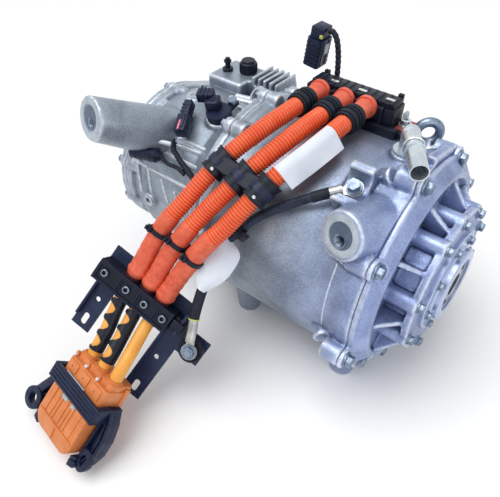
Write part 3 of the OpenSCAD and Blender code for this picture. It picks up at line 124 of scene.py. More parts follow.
OIL_SENSOR_ANGLE = 104
SENSOR_PLUG_X = -336
SENSOR_PLUG_ANGLE = 116
SENSOR_PLUG_YAW = 23
BREATHER_AT = (-370, 66, 108)

# Cable routes
CONDUIT_R = 9.8
LEAD_R = 7.3
STRAP_R = 5.0
CONDUIT_ROUTES = [
    [(-210, 12, 142), (-210, -10, 142), (-212, -28, 140), (-217, -50, 135), (-229, -89, 120),
     (-241, -119, 99), (-251, -142, 77), (-260, -162, 58), (-267, -181, 35), (-272, -198, 12),
     (-278, -213, -7)],
    [(-179, 12, 142), (-179, -10, 142), (-181, -30, 140), (-186, -60, 133), (-198, -94, 117),
     (-210, -121, 98), (-223, -141, 77), (-234, -161, 56), (-244, -179, 32), (-253, -196, 4),
     (-259, -211, -15)],
    [(-152, 12, 142), (-152, -10, 142), (-154, -30, 139), (-159, -60, 132), (-171, -94, 117),
     (-184, -123, 94), (-196, -145, 71), (-210, -163, 50), (-223, -180, 23), (-234, -195, -4),
     (-240, -210, -23)],
]
LEAD_ROUTES = [
    [(-278, -213, -7), (-280, -224, -20), (-279, -238, -31), (-276, -252, -42), (-274, -267, -52),
     (-274, -281, -64)],
    [(-259, -211, -15), (-261, -222, -28), (-259, -237, -37), (-256, -253, -45), (-253, -269, -53),
     (-253, -284, -64)],
    [(-240, -210, -23), (-242, -222, -35), (-240, -237, -42), (-236, -254, -48), (-232, -272, -54),
     (-231, -287, -64)],
]
STRAP_ROUTE = [(-120.9, -76.8, 111), (-132.6, -86.4, 105.9), (-156, -98, 91), (-180, -110, 72),
               (-196, -126, 52), (-204, -146, 34), (-203, -170, 11), (-198, -192.3, -11.8),
               (-193.4, -205.2, -29.56)]
PIGTAIL_ROUTE = [(-213, 76, 116), (-213, 76, 126), (-215, 80, 145), (-218, 83, 163), (-222, 84, 178),
                 (-227.4, 84, 186.2), (-233.4, 84, 187)]
PIGTAIL_R = 3.2
HARNESS_ROUTE = [(-331, -77, 84), (-328, -82, 78), (-320, -85, 74), (-310, -88, 69), (-298, -91, 64),
                 (-286, -94, 60)]
HARNESS_R = 3.2


# Places
def at_mm(point):
    """A place in metres from one in millimetres."""
    return Vector(point) * MM


def placed(at=(0, 0, 0), turn=(0, 0, 0)):
    """Matrix of a place in millimetres and turns in degrees."""
    angles = [math.radians(a) for a in turn]
    return Matrix.Translation(at_mm(at)) @ Euler(angles).to_matrix().to_4x4()


def aimed(start, end):
    """Matrix at start with its Z axis towards end."""
    direction = at_mm(end) - at_mm(start)
    return Matrix.Translation(at_mm(start)) @ direction.to_track_quat("Z", "Y").to_matrix().to_4x4()


def on_axle(x, radius, angle, way=1):
    """A place around the axle line with its Z along X, or against it."""
    s = math.radians(angle)
    return placed((x, radius * math.cos(s), radius * math.sin(s)), (0, 90 * way, 0))


def outward(x, angle):
    """A frame on the axle line with its Z pointing straight out at an angle."""
    return placed((x, 0, 0), (angle - 90, 0, 0))


PLUG = placed(PLUG_AT, PLUG_TURN)
BRACKET = placed(BRACKET_AT, BRACKET_TURN)


# Mesh building
class Build:
    """Gathers solids in one mesh, each with the number of its finish. Sizes are millimetres."""

    def __init__(self, place=None):
        self.mesh = bmesh.new()
        self.painted = self.mesh.faces.layers.int.new("painted")
        self.place = place or Matrix()

    def fresh(self):
        """Faces made since the last paint."""
        return [face for face in self.mesh.faces if not face[self.painted]]

    def paint(self, finish):
        """Gives the fresh faces the number of a finish."""
        for face in self.fresh():
            face[self.painted] = 1
            face.material_index = finish

    def bevel(self, edges, width, segments=2):
        """Rounds edges."""
        bmesh.ops.bevel(self.mesh, geom=edges, offset=width * MM, offset_type="OFFSET", segments=segments,
                        profile=0.5, affect="EDGES", clamp_overlap=True, material=-1)

    def box(self, low, high, finish=0, bevel=0.6, segments=2, turn=None):
        """Block between two corners, turned about its middle."""
        middle = [(a + b) / 2 for a, b in zip(low, high)]
        size = [(b - a) * MM for a, b in zip(low, high)]
        place = self.place @ placed(middle, turn or (0, 0, 0)) @ Matrix.Diagonal((*size, 1))
        made = bmesh.ops.create_cube(self.mesh, size=1, matrix=place)
        if bevel:
            edges = list({e for v in made["verts"] for e in v.link_edges})
            self.bevel(edges, bevel, segments)
        self.paint(finish)

    def lathe(self, profile, place=None, finish=0, steps=40, closed=False):
        """Turns a profile of (radius, z) points about the Z axis of a place."""
        whole = self.place @ (place or Matrix())
        verts = [self.mesh.verts.new(whole @ at_mm((r, 0, z))) for r, z in profile]
        pairs = list(zip(verts, verts[1:]))
        if closed:
            pairs.append((verts[-1], verts[0]))
        edges = [self.mesh.edges.new(pair) for pair in pairs]
        before = set(self.mesh.verts) - set(verts)
        bmesh.ops.spin(self.mesh, geom=verts + edges, cent=whole.translation, axis=whole.col[2].to_3d(),
                       angle=2 * math.pi, steps=steps, use_merge=True)
        made = [v for v in self.mesh.verts if v not in before]
        bmesh.ops.remove_doubles(self.mesh, verts=made, dist=1e-6)
        bmesh.ops.recalc_face_normals(self.mesh, faces=self.fresh())
        self.paint(finish)

    def rod(self, start, end, radius, finish=0, bevel=0.4, steps=32):
        """Round bar between two points, with softened ends."""
        length = (Vector(end) - Vector(start)).length
        b = min(bevel, radius * 0.4, length * 0.4)
        self.lathe([(0, 0), (radius - b, 0), (radius, b), (radius, length - b), (radius - b, length),
                    (0, length)], aimed(start, end), finish, steps)

    def tube(self, start, end, outer, inner, finish=0, bevel=0.4, steps=40):
        """Round tube between two points."""
        length = (Vector(end) - Vector(start)).length
        b = min(bevel, (outer - inner) * 0.4)
        self.lathe([(inner, 0), (outer - b, 0), (outer, b), (outer, length - b), (outer - b, length),
                    (inner, length)], aimed(start, end), finish, steps, closed=True)

    def prism(self, outline, low, high, place=None, finish=0, bevel=0.5, segments=2):
        """Outline in the XY plane of a place, raised from low to high."""
        whole = self.place @ (place or Matrix())
        verts = [self.mesh.verts.new(whole @ at_mm((x, y, low))) for x, y in outline]
        face = self.mesh.faces.new(verts)
        raised = bmesh.ops.extrude_face_region(self.mesh, geom=[face])
        top = [v for v in raised["geom"] if isinstance(v, bmesh.types.BMVert)]
        bmesh.ops.translate(self.mesh, verts=top, vec=whole.to_3x3() @ at_mm((0, 0, high - low)))
        bmesh.ops.recalc_face_normals(self.mesh, faces=self.fresh())
        if bevel:
            self.bevel(list({e for f in self.fresh() for e in f.edges}), bevel, segments)
        self.paint(finish)

    def trim(self, point, normal):
        """Cuts off what lies past a plane and closes the cut."""
        geom = list(self.mesh.verts) + list(self.mesh.edges) + list(self.mesh.faces)
        cut = bmesh.ops.bisect_plane(self.mesh, geom=geom, plane_co=self.place @ at_mm(point),
                                     plane_no=self.place.to_3x3() @ Vector(normal), clear_outer=True)
        edges = [e for e in cut["geom_cut"] if isinstance(e, bmesh.types.BMEdge)]
        bmesh.ops.holes_fill(self.mesh, edges=edges, sides=0)
        self.paint(0)

    def sheet(self, columns, rows, place_of, thickness, keep=None):
        """A thin sheet: a grid whose points go where place_of puts their shares across and along."""
        mesh = self.mesh
        bmesh.ops.create_grid(mesh, x_segments=columns, y_segments=rows, size=0.5)
        if keep:
            gone = [f for f in mesh.faces if not keep(*[c + 0.5 for c in f.calc_center_median()[:2]])]
            bmesh.ops.delete(mesh, geom=gone, context="FACES")
        for vert in mesh.verts:
            vert.co = at_mm(place_of(vert.co.x + 0.5, vert.co.y + 0.5))
        bmesh.ops.remove_doubles(mesh, verts=mesh.verts, dist=1e-6)
        bmesh.ops.recalc_face_normals(mesh, faces=mesh.faces)
        bmesh.ops.solidify(mesh, geom=mesh.faces, thickness=thickness * MM)
        bmesh.ops.recalc_face_normals(mesh, faces=mesh.faces)
        return self


def rounded_outline(width, height, radius, steps=5):
    """Corner points of a rectangle with round corners, centred on X and standing on Y = 0."""
    points = []
    for cx, cy, first in ((1, 1, 0), (-1, 1, 90), (-1, -1, 180), (1, -1, 270)):
        for i in range(steps + 1):
            s = math.radians(first + 90 * i / steps)
            points.append((cx * (width / 2 - radius) + radius * math.cos(s),
                           height / 2 + cy * (height / 2 - radius) + radius * math.sin(s)))
    return points


def circle_outline(radius, sides, x=0.0, y=0.0):
    """Corner points of a round or of a figure with equal sides."""
    turns = [2 * math.pi * i / sides for i in range(sides)]
    return [(x + radius * math.cos(t), y + radius * math.sin(t)) for t in turns]


def link(obj, body="housing", replaces=(), slot=None):
    """Links a piece that rides on a body."""
    scene.collection.objects.link(obj)
    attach(obj, body)
    if replaces:
        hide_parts(*replaces)
    return obj


def wire_profile(radius, wire_r):
    """Profile of a round wire bent to a ring."""
    turns = [math.radians(a) for a in range(0, 360, 45)]
    return [(radius + wire_r * math.cos(t), wire_r * math.sin(t)) for t in turns]


def show(name, mesh, finishes, crease=35, **kwargs):
    """Shows a mesh as a piece, smooth but for its sharp edges."""
    for finish in finishes:
        mesh.materials.append(finish)
    mesh.shade_smooth()
    mesh.set_sharp_from_angle(angle=math.radians(crease))
    return link(bpy.data.objects.new(name, mesh), **kwargs)


def piece(name, build, finishes, **kwargs):
    """Turns a build into a shown piece."""
    mesh = bpy.data.meshes.new(name)
    build.mesh.to_mesh(mesh)
    build.mesh.free()
    return show(name, mesh, finishes, **kwargs)


def smooth_route(points, step):
    """Points a step apart, in millimetres, on the smooth curve through a route's points."""
    route = [Vector(p) for p in points]
    route = [2 * route[0] - route[1]] + route + [2 * route[-1] - route[-2]]
    fine = []
    parts = 24
    for a, b, c, d in zip(route, route[1:], route[2:], route[3:]):
        for k in range(parts):
            t = k / parts
            fine.append(0.5 * (2 * b + (c - a) * t + (2 * a - 5 * b + 4 * c - d) * t * t
                               + (3 * b - a - 3 * c + d) * t ** 3))
    fine.append(route[-2])
    lengths = [0.0]
    for p, q in zip(fine, fine[1:]):
        lengths.append(lengths[-1] + (q - p).length)
    count = max(2, round(lengths[-1] / step))
    line = []
    i = 0
    for k in range(count + 1):
        s = lengths[-1] * k / count
        while i < len(lengths) - 2 and lengths[i + 1] < s:
            i += 1
        line.append(fine[i].lerp(fine[i + 1], (s - lengths[i]) / (lengths[i + 1] - lengths[i])))
    return line, lengths[-1] / count


def tube_curve(name, line, radii, finish, replaces=(), slot=None):
    """A round tube along a line, of one radius or with its own at each point."""
    if not isinstance(radii, list):
        radii = [radii] * len(line)
    curve = bpy.data.curves.new(name, "CURVE")
    curve.dimensions = "3D"
    curve.bevel_depth = MM
    curve.bevel_resolution = 8
    curve.use_fill_caps = True
    spline = curve.splines.new("POLY")
    spline.points.add(len(line) - 1)
    for spot, place, radius in zip(spline.points, line, radii):
        spot.co = (*(place * MM), 1)
        spot.radius = radius
    spline.use_smooth = True
    curve.materials.append(finish)
    return link(bpy.data.objects.new(name, curve), replaces=replaces, slot=slot)


# Finishes
def srgb(red, green, blue):
    """Linear colour of three screen values from 0 to 255."""
    def linear(value):
        share = value / 255
        return share / 12.92 if share <= 0.04045 else ((share + 0.055) / 1.055) ** 2.4
    return (linear(red), linear(green), linear(blue), 1.0)


class Graph:
    """Short hand for the nodes of one tree."""

    def __init__(self, tree):
        self.tree = tree

    def node(self, kind, settings=None, links=None):
        """A node with values on its sockets or settings, and links into it."""
        made = self.tree.nodes.new("ShaderNode" + kind)
        for key, value in (settings or {}).items():
            if key in made.inputs:
                made.inputs[key].default_value = value
            else:
                setattr(made, key, value)
        for key, source in (links or {}).items():
            self.tree.links.new(source, made.inputs[key])
        return made

    def group(self, tree):
        """A node that holds a shared effect."""
        made = self.tree.nodes.new("ShaderNodeGroup")
        made.node_tree = tree
        return made

    def math(self, operation, first, second):
        """A sum, product or the like of two values or sockets."""
        made = self.tree.nodes.new("ShaderNodeMath")
        made.operation = operation
        for socket, value in zip(made.inputs, (first, second)):
            if isinstance(value, (int, float)):
                socket.default_value = value
            else:
                self.tree.links.new(value, socket)
        return made.outputs[0]

    def span(self, value, low, high, to_low=0.0, to_high=1.0):
        """A value's span brought to another span and held there."""
        made = self.node("MapRange", {"From Min": low, "From Max": high, "To Min": to_low, "To Max": to_high})
        self.tree.links.new(value, made.inputs["Value"])
        return made.outputs[0]

    def mix(self, share, first, second):
        """Colour between two colours by a share."""
        made = self.tree.nodes.new("ShaderNodeMix")
        made.data_type = "RGBA"
        self.tree.links.new(share, made.inputs[0])
        for socket, value in zip((made.inputs[6], made.inputs[7]), (first, second)):
            if isinstance(value, tuple):
                socket.default_value = value
            else:
                self.tree.links.new(value, socket)
        return made.outputs[2]

    def noise(self, coords, scale, detail=3.0, roughness=0.55):
        """Cloudy values, with a plain scale or one from a socket."""
        made = self.node("TexNoise", {"Detail": detail, "Roughness": roughness}, {"Vector": coords})
        if isinstance(scale, (int, float)):
            made.inputs["Scale"].default_value = scale
        else:
            self.tree.links.new(scale, made.inputs["Scale"])
        return made.outputs[0]


def effect(name, inputs, outputs):
    """An empty node group with named values in and out."""
    tree = bpy.data.node_groups.new(name, "ShaderNodeTree")
    for label, value in inputs.items():
        socket = tree.interface.new_socket(label, in_out="INPUT", socket_type="NodeSocketFloat")
        socket.default_value = value
    for label in outputs:
        tree.interface.new_socket(label, in_out="OUTPUT", socket_type="NodeSocketFloat")
    graph = Graph(tree)
    return graph, tree.nodes.new("NodeGroupInput"), tree.nodes.new("NodeGroupOutput")


def cast_skin():
    """Grain, blotches, stains and pits of a raw casting."""
    graph, given, out = effect("cast skin", {"Grain": 620.0, "Blotch": 24.0}, ("Tone", "Stain", "Height"))
    coords = graph.node("TexCoord").outputs["Object"]
    grain = graph.noise(coords, given.outputs["Grain"], 4.0, 0.62)
    blotch = graph.noise(coords, given.outputs["Blotch"], 5.0, 0.6)
    broad = graph.noise(coords, graph.math("MULTIPLY", given.outputs["Blotch"], 0.35), 3.0)
    pits = graph.node("TexVoronoi", None, {"Vector": coords})
    graph.tree.links.new(graph.math("MULTIPLY", given.outputs["Grain"], 0.45), pits.inputs["Scale"])
    pit = graph.span(pits.outputs["Distance"], 0.05, 0.22, 1.0, 0.0)
    tone = graph.math("ADD", graph.math("MULTIPLY", grain, 0.45), graph.math("MULTIPLY", blotch, 0.55))
    links = graph.tree.links
    links.new(graph.span(tone, 0.34, 0.66), out.inputs["Tone"])
    links.new(graph.span(broad, 0.5, 0.72), out.inputs["Stain"])
    rise = graph.math("ADD", grain, graph.math("MULTIPLY", blotch, 0.8))
    links.new(graph.math("SUBTRACT", rise, graph.math("MULTIPLY", pit, 0.35)), out.inputs["Height"])
    return graph.tree


def moulded_skin():
    """Fine grain and dusty smudges of a moulded or painted surface."""
    graph, given, out = effect("moulded skin", {"Grain": 1400.0, "Smudge": 45.0}, ("Tone", "Dust", "Height"))
    coords = graph.node("TexCoord").outputs["Object"]
    grain = graph.noise(coords, given.outputs["Grain"], 2.0)
    smudge = graph.noise(coords, given.outputs["Smudge"], 4.0, 0.6)
    specks = graph.noise(coords, graph.math("MULTIPLY", given.outputs["Smudge"], 9.0), 3.0, 0.7)
    links = graph.tree.links
    tone = graph.math("ADD", graph.math("MULTIPLY", grain, 0.4), graph.math("MULTIPLY", smudge, 0.6))
    links.new(graph.span(tone, 0.33, 0.67), out.inputs["Tone"])
    dust = graph.math("MULTIPLY", graph.span(smudge, 0.48, 0.75), graph.span(specks, 0.45, 0.7))
    links.new(dust, out.inputs["Dust"])
    links.new(graph.math("ADD", grain, graph.math("MULTIPLY", smudge, 1.5)), out.inputs["Height"])
    return graph.tree


def worn_edge_sheen_and_hollow_shade():
    """Masks of outer edges and of hollows, from how pointed a dense mesh is: the edge mask paints highlights,
    partly wear, and the hollow mask paints shade.
    """
    graph, given, out = effect("worn edge sheen and hollow shade", {"Reach": 0.048}, ("Edge", "Hollow"))
    point = graph.node("NewGeometry").outputs["Pointiness"]
    noise = graph.noise(graph.node("TexCoord").outputs["Object"], 160.0, 4.0)
    rise = graph.math("SUBTRACT", point, 0.5)
    edge = graph.math("DIVIDE", rise, given.outputs["Reach"])
    links = graph.tree.links
    links.new(graph.math("MULTIPLY", graph.span(edge, 0.12, 0.9), graph.span(noise, 0.3, 0.6, 0.45, 1.0)),
              out.inputs["Edge"])
    links.new(graph.span(edge, -0.12, -0.9), out.inputs["Hollow"])
    return graph.tree


def turned_rings():
    """Fine tool marks around the axle line."""
    graph, given, out = effect("turned rings", {"Marks": 900.0}, ("Tone", "Height"))
    coords = graph.node("SeparateXYZ", None, {"Vector": graph.node("TexCoord").outputs["Object"]})
    y, z = coords.outputs["Y"], coords.outputs["Z"]
    squares = graph.math("ADD", graph.math("MULTIPLY", y, y), graph.math("MULTIPLY", z, z))
    radius = graph.math("SQRT", squares, 0)
    marks = graph.node("TexNoise", {"noise_dimensions": "1D", "Detail": 3.0})
    graph.tree.links.new(graph.math("MULTIPLY", radius, given.outputs["Marks"]), marks.inputs["W"])
    graph.tree.links.new(graph.span(marks.outputs[0], 0.3, 0.7), out.inputs["Tone"])
    graph.tree.links.new(marks.outputs[0], out.inputs["Height"])
    return graph.tree


CAST = cast_skin()
MOULDED = moulded_skin()
WORN_SHEEN_AND_SHADE = worn_edge_sheen_and_hollow_shade()
TURNED = turned_rings()


def finish(name, skin, sizes, dark, light, rough, bump=0.15, depth=0.3, hollow_shade=None, colour_of=None,
           **constants):
    """A material whose colour and gloss follow a skin with given sizes. An optional colour darkens its
    hollows as painted shade.
    """
    material = bpy.data.materials.new(name)
    material.use_nodes = True
    tree = material.node_tree
    graph = Graph(tree)
    shader = tree.nodes["Principled BSDF"]
    for label, value in constants.items():
        shader.inputs[label.replace("_", " ").title().replace("Ior", "IOR")].default_value = value
    surface = graph.group(skin)
    for socket, value in zip(surface.inputs, sizes):
        socket.default_value = value
    tone = surface.outputs["Tone"]
    colour = colour_of(graph, surface) if colour_of else graph.mix(tone, srgb(*dark), srgb(*light))
    # Painted shade: the hollows take the darker colour.
    if hollow_shade:
        colour = graph.mix(graph.group(WORN_SHEEN_AND_SHADE).outputs["Hollow"], colour, srgb(*hollow_shade))
    tree.links.new(colour, shader.inputs["Base Color"])
    tree.links.new(graph.span(tone, 0.0, 1.0, rough[1], rough[0]), shader.inputs["Roughness"])
    bumps = graph.node("Bump", {"Strength": bump, "Distance": depth * MM},
                       {"Height": surface.outputs["Height"]})
    tree.links.new(bumps.outputs[0], shader.inputs["Normal"])
    return material


def cast_colour(graph, skin):
    """Raw aluminium, bluer towards the end cover, with stains, painted highlights on its edges (partly wear)
    and painted shade in its hollows.
    """
    coords = graph.node("TexCoord").outputs["Object"]
    along = graph.node("SeparateXYZ", None, {"Vector": coords}).outputs["X"]
    share = graph.span(along, -0.17, -0.045)
    dark = graph.mix(share, srgb(104, 115, 128), srgb(98, 113, 154))
    light = graph.mix(share, srgb(172, 184, 198), srgb(164, 181, 224))
    colour = graph.mix(skin.outputs["Tone"], dark, light)
    edges = graph.group(WORN_SHEEN_AND_SHADE)
    # Stains are the metal's own; the edge mask adds painted highlights, partly wear, and the hollow mask adds
    # painted shade.
    for mask, strength, shade in ((skin.outputs["Stain"], 0.6, srgb(104, 114, 128)),
                                  (edges.outputs["Edge"], 0.65, srgb(234, 240, 248)),
                                  (edges.outputs["Hollow"], 0.9, srgb(44, 52, 84))):
        colour = graph.mix(graph.math("MULTIPLY", mask, strength), colour, shade)
    return colour


cast_metal = finish("cast aluminium", CAST, (620, 24), None, None, (0.26, 0.5), bump=0.4, depth=0.4,
                    colour_of=cast_colour, metallic=0.55)
turned_metal = finish("turned aluminium", TURNED, (900,), (150, 166, 206), (198, 208, 230), (0.22, 0.38),
                      bump=0.2, depth=0.15, metallic=0.7)
face_metal = finish("milled aluminium", MOULDED, (900, 60), (150, 162, 174), (198, 207, 216), (0.26, 0.42),
                    bump=0.12, metallic=0.5)
# Painted shade: the sunk spot faces of the mounts are coloured dark.
spot_face_painted_shade = finish("spot face aluminium painted shade", MOULDED, (700, 80), (66, 80, 100), (100, 116, 136), (0.3, 0.45),
                    bump=0.12, metallic=0.5)
pipe_metal = finish("drawn aluminium", MOULDED, (500, 40), (172, 184, 194), (216, 223, 228), (0.2, 0.34),
                    bump=0.08, metallic=0.75)
bolt_steel = finish("plated steel", MOULDED, (800, 120), (92, 106, 128), (152, 165, 182), (0.26, 0.44),
                    bump=0.1, metallic=0.85)
bright_steel = finish("bright steel", MOULDED, (900, 90), (196, 202, 208), (236, 240, 242), (0.16, 0.3),
                      bump=0.06, metallic=0.9)
gear_steel = finish("ground gear steel", MOULDED, (700, 60), (122, 126, 134), (168, 172, 178), (0.2, 0.36),
                    bump=0.1, metallic=0.9)
case_iron = finish("cast iron", CAST, (700, 40), (80, 82, 88), (118, 120, 126), (0.45, 0.65), bump=0.3,
                   metallic=0.6)
lamination = finish("stacked laminations", CAST, (1200, 60), (96, 98, 104), (138, 140, 146), (0.35, 0.55),
                    bump=0.2, metallic=0.7)
copper = finish("lacquered copper", MOULDED, (900, 90), (150, 78, 40), (206, 120, 70), (0.25, 0.42), bump=0.4,
                depth=0.6, metallic=0.8)
tinned = finish("tinned copper", MOULDED, (800, 110), (150, 152, 150), (198, 199, 196), (0.2, 0.36),
                bump=0.12, metallic=0.8)
# The darker orange in the corrugation valleys is painted shade.
conduit_cover = finish("corrugated orange cover", MOULDED, (1300, 50), (226, 84, 40), (248, 116, 66),
                       (0.3, 0.46), bump=0.08, hollow_shade=(172, 48, 24))
shrink_cover = finish("heat shrink cover", CAST, (260, 90), (198, 76, 48), (230, 108, 76), (0.4, 0.6),
                      bump=0.35, depth=0.7)
boot_rubber = finish("boot rubber", CAST, (400, 80), (206, 84, 60), (236, 118, 92), (0.42, 0.6), bump=0.25,
                     depth=0.5)
lead_cover = finish("amber lead cover", MOULDED, (1100, 60), (224, 146, 46), (246, 180, 84), (0.32, 0.5),
                    bump=0.1)
plug_orange = finish("moulded orange plastic", MOULDED, (1300, 70), (196, 106, 48), (226, 140, 80),
                     (0.34, 0.5), bump=0.14)
# Painted shade: a darker orange for the small holes of the plug.
plug_hole_shade = finish("shaded orange plastic", MOULDED, (1300, 70), (132, 56, 20), (160, 76, 34), (0.45, 0.6),
                     bump=0.1)
black_plastic = finish("black plastic", MOULDED, (1500, 60), (8, 11, 22), (24, 31, 50), (0.3, 0.46),
                       bump=0.12, specular_ior_level=0.25)
navy_plastic = finish("blue black plastic", MOULDED, (1200, 70), (14, 20, 42), (32, 42, 72), (0.3, 0.46),
                      bump=0.14, specular_ior_level=0.25)
black_rubber = finish("black rubber", CAST, (900, 70), (12, 15, 24), (30, 37, 52), (0.45, 0.65), bump=0.25,
                      specular_ior_level=0.25)
loom_cover = finish("ribbed loom cover", MOULDED, (1000, 80), (14, 18, 32), (40, 50, 76), (0.36, 0.52),
                    bump=0.12, specular_ior_level=0.3)
painted_steel = finish("dark painted steel", MOULDED, (1000, 40), (22, 33, 60), (40, 54, 86), (0.26, 0.42),
                       bump=0.12, specular_ior_level=0.3)
dark_maroon_collar = finish("dark maroon collar", MOULDED, (700, 80), (48, 16, 26), (84, 32, 42), (0.45, 0.6),
                       bump=0.15, specular_ior_level=0.3)
paper = finish("white paper", MOULDED, (1600, 30), (206, 214, 226), (229, 234, 242), (0.4, 0.55), bump=0.05)
grey_clip = finish("grey clip", MOULDED, (1100, 60), (138, 148, 156), (182, 190, 196), (0.3, 0.45), bump=0.1)
yellow_mark = finish("yellow mark", MOULDED, (1100, 60), (176, 180, 62), (206, 208, 104), (0.35, 0.5),
                     bump=0.1)
pink_mark = finish("pink lock", MOULDED, (1100, 60), (214, 92, 130), (240, 142, 170), (0.35, 0.5), bump=0.1)
gasket_red = finish("red brown gasket", MOULDED, (900, 70), (136, 52, 44), (178, 84, 70), (0.4, 0.55),
                    bump=0.15)

# Finish of each solid that is shown as it is
NODE_FINISHES = {
    turned_metal: ["axle_flange"],
    pipe_metal: ["coolant_pipes", "cooling_jacket"],
    bright_steel: ["motor_bearings", "gearbox_bearings", "terminal_bolt"],
    bolt_steel: ["earth_bolt", "lifting_eye"],
    lamination: ["stator_core", "rotor_core", "resolver_stator", "resolver_rotor"],
    copper: ["stator_windings"],
    gear_steel: ["rotor_shaft", "layshaft", "layshaft_gear", "ring_gear", "cross_pin", "spider_gear_top",
                 "spider_gear_bottom", "left_output_shaft", "left_coupling", "right_output_shaft",
                 "right_coupling"],
    case_iron: ["diff_case"],
    black_rubber: ["output_seals", "cable_glands"],
    boot_rubber: ["cable_boots"],
    black_plastic: ["cable_clamp", "cable_ties", "clamp_bar"],
    painted_steel: ["cable_bracket"],
    tinned: ["earth_lugs"],
}


def dress_nodes():
    """Gives the solids that stay in view their finish."""
    for material, names in NODE_FINISHES.items():
        for name in names:
            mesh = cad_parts[name].data
            mesh.materials.clear()
            mesh.materials.append(material)


# Castings
def cast_copy(name, node, voxel, rounds, ratio):
    """A copy of a casting with softened edges and corners, thinned where it is flat."""
    mesh = bmesh.new()
    mesh.from_mesh(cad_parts[node].data)
    bmesh.ops.remove_doubles(mesh, verts=mesh.verts, dist=1e-6)
    raw = bpy.data.meshes.new(name + "_raw")
    mesh.to_mesh(raw)
    mesh.free()
    rough = bpy.data.objects.new(name + "_raw", raw)
    scene.collection.objects.link(rough)
    skin = rough.modifiers.new("skin", "REMESH")
    skin.mode = "VOXEL"
    skin.voxel_size = voxel * MM
    soften = rough.modifiers.new("soften", "SMOOTH")
    soften.factor = 0.5
    soften.iterations = rounds
    thin = rough.modifiers.new("thin", "DECIMATE")
    thin.ratio = ratio
    bpy.context.view_layer.update()
    shaped = bpy.data.meshes.new_from_object(rough.evaluated_get(bpy.context.evaluated_depsgraph_get()))
    bpy.data.objects.remove(rough)
    shaped.name = name
    shaped.materials.clear()
    return show(name, shaped, [cast_metal], replaces=[node], slot="cast_aluminium", crease=180)


THREAD_TURNS = 12
THREAD_PITCH = 1.75


def mount_face(name, at, rim_r, spot_r):
    """Machined rim, sunk spot face and threaded insert of a mount boss."""
    place = placed(at, MOUNT_TURN)
    drop = -6
    build = Build(place)
    build.lathe([(spot_r - 0.4, -1.2), (spot_r, 0.15), (spot_r + 0.6, 0.35), (rim_r - 2.2, 0.35),
                 (rim_r - 1.2, -0.2), (rim_r - 1.2, -1.2)], None, 0, 56, closed=True)
    build.lathe([(7.2, -1.3), (8.0, -0.9), (8.0, -3.0), (7.2, -3.0)], placed((0, drop, 0)), 1, closed=True)
    # The sunk floor of the spot face takes the dark finish, painted shade.
    outer = [build.mesh.verts.new(place @ at_mm((x, y, -1.1))) for x, y in circle_outline(spot_r - 0.2, 48)]
    inner = [build.mesh.verts.new(place @ at_mm((x, y, -1.1))) for x, y in circle_outline(7.3, 48, 0, drop)]
    loops = [build.mesh.edges.new(pair) for ring in (outer, inner) for pair in zip(ring, ring[1:] + ring[:1])]
    bmesh.ops.bridge_loops(build.mesh, edges=loops)
    build.paint(1)
    thread = [(7.0, -1.4)]
    for i in range(THREAD_TURNS):
        thread += [(5.3, -2.2 - THREAD_PITCH * i), (6.1, -3.0 - THREAD_PITCH * i)]
    build.lathe(thread + [(5.2, -24), (0, -24.5)], placed((0, drop, 0)), 2, 40)
    bmesh.ops.reverse_faces(build.mesh, faces=[f for f in build.mesh.faces if f.material_index == 2])
    return piece(name, build, [face_metal, spot_face_painted_shade, bolt_steel], slot="cast_aluminium")


# Casting, its solid, voxel size, rounds of smoothing and share of faces kept
CASTINGS = [
    ("motor_casting", "motor_housing", 1.9, 5, 0.62),
    ("gearbox_casting", "gearbox_housing", 1.9, 5, 0.7),
    ("cover_casting", "end_cover", 1.6, 3, 0.62),
    ("lid_casting", "gearbox_lid", 1.9, 3, 0.7),
]


def castings():
    """The four castings with the machined faces of their two mounts."""
    for row in CASTINGS:
        cast_copy(*row)
    mount_face("front_boss_face", BOSS_AT, 21.7, 13.6)
    mount_face("horn_face", HORN_AT, 25, 16)


def housing_bands():
    """Raised bands on the housing beside the split flange."""
    build = Build()
    foot_r = HOUSING_R - 2
    for x, rise in ((-79, 1.2), (-87, 0.9)):
        crest_r = HOUSING_R + rise
        build.lathe([(foot_r, x - 1.6), (crest_r, x - 0.8), (crest_r, x + 0.8), (foot_r, x + 1.6)],
                    placed((0, 0, 0), (0, 90, 0)), 0, 128, closed=True)
    piece("housing_bands", build, [cast_metal], slot="cast_aluminium")


# Bolts
def flange_bolt(build, place, size):
    """Flanged hexagon bolt with a chamfered head and a dished top, standing on a place's Z."""
    shank_r, head_r, length = size
    flange_h = shank_r * 0.5
    head_h = shank_r * 2
    build.lathe([(0, -length), (shank_r, -length), (shank_r, 0), (head_r, 0), (head_r, flange_h * 0.6),
                 (head_r * 0.93, flange_h), (0, flange_h)], place, 0, 32)
    hexagon = circle_outline(head_r * 0.82, 6)
    build.prism(hexagon, flange_h * 0.5, head_h, place, 0, bevel=shank_r * 0.14)
    build.lathe([(0, head_h - 0.1), (head_r * 0.4, head_h - 0.1), (head_r * 0.46, head_h + shank_r * 0.08),
                 (head_r * 0.56, head_h + shank_r * 0.08), (head_r * 0.6, head_h - 0.2)], place, 0, 24)


def bolt_set(name, node, places, size):
    """A flange bolt at each place, as one piece that replaces a solid."""
    build = Build()
    for place in places:
        flange_bolt(build, place, size)
    piece(name, build, [bolt_steel], replaces=[node], slot="plated_steel")


def lid_bolt_places():
    """Places of the lid's bolts around both rounds of the gearbox, as (y, z)."""
    lay_angle = -18
    lay_distance = 100
    lay_case_r = 89
    gearbox_r = 92

    def around(middle, radius, turns):
        angles = [math.radians(lay_angle + turn) for turn in turns]
        return [(middle[0] + radius * math.cos(s), middle[1] + radius * math.sin(s)) for s in angles]
    lay = around((0, 0), lay_distance, [0])[0]
    return (around((0, 0), gearbox_r, (105, 145, 180, 215, 255))
            + around(lay, lay_case_r, (-75, -38, 0, 38, 75)))


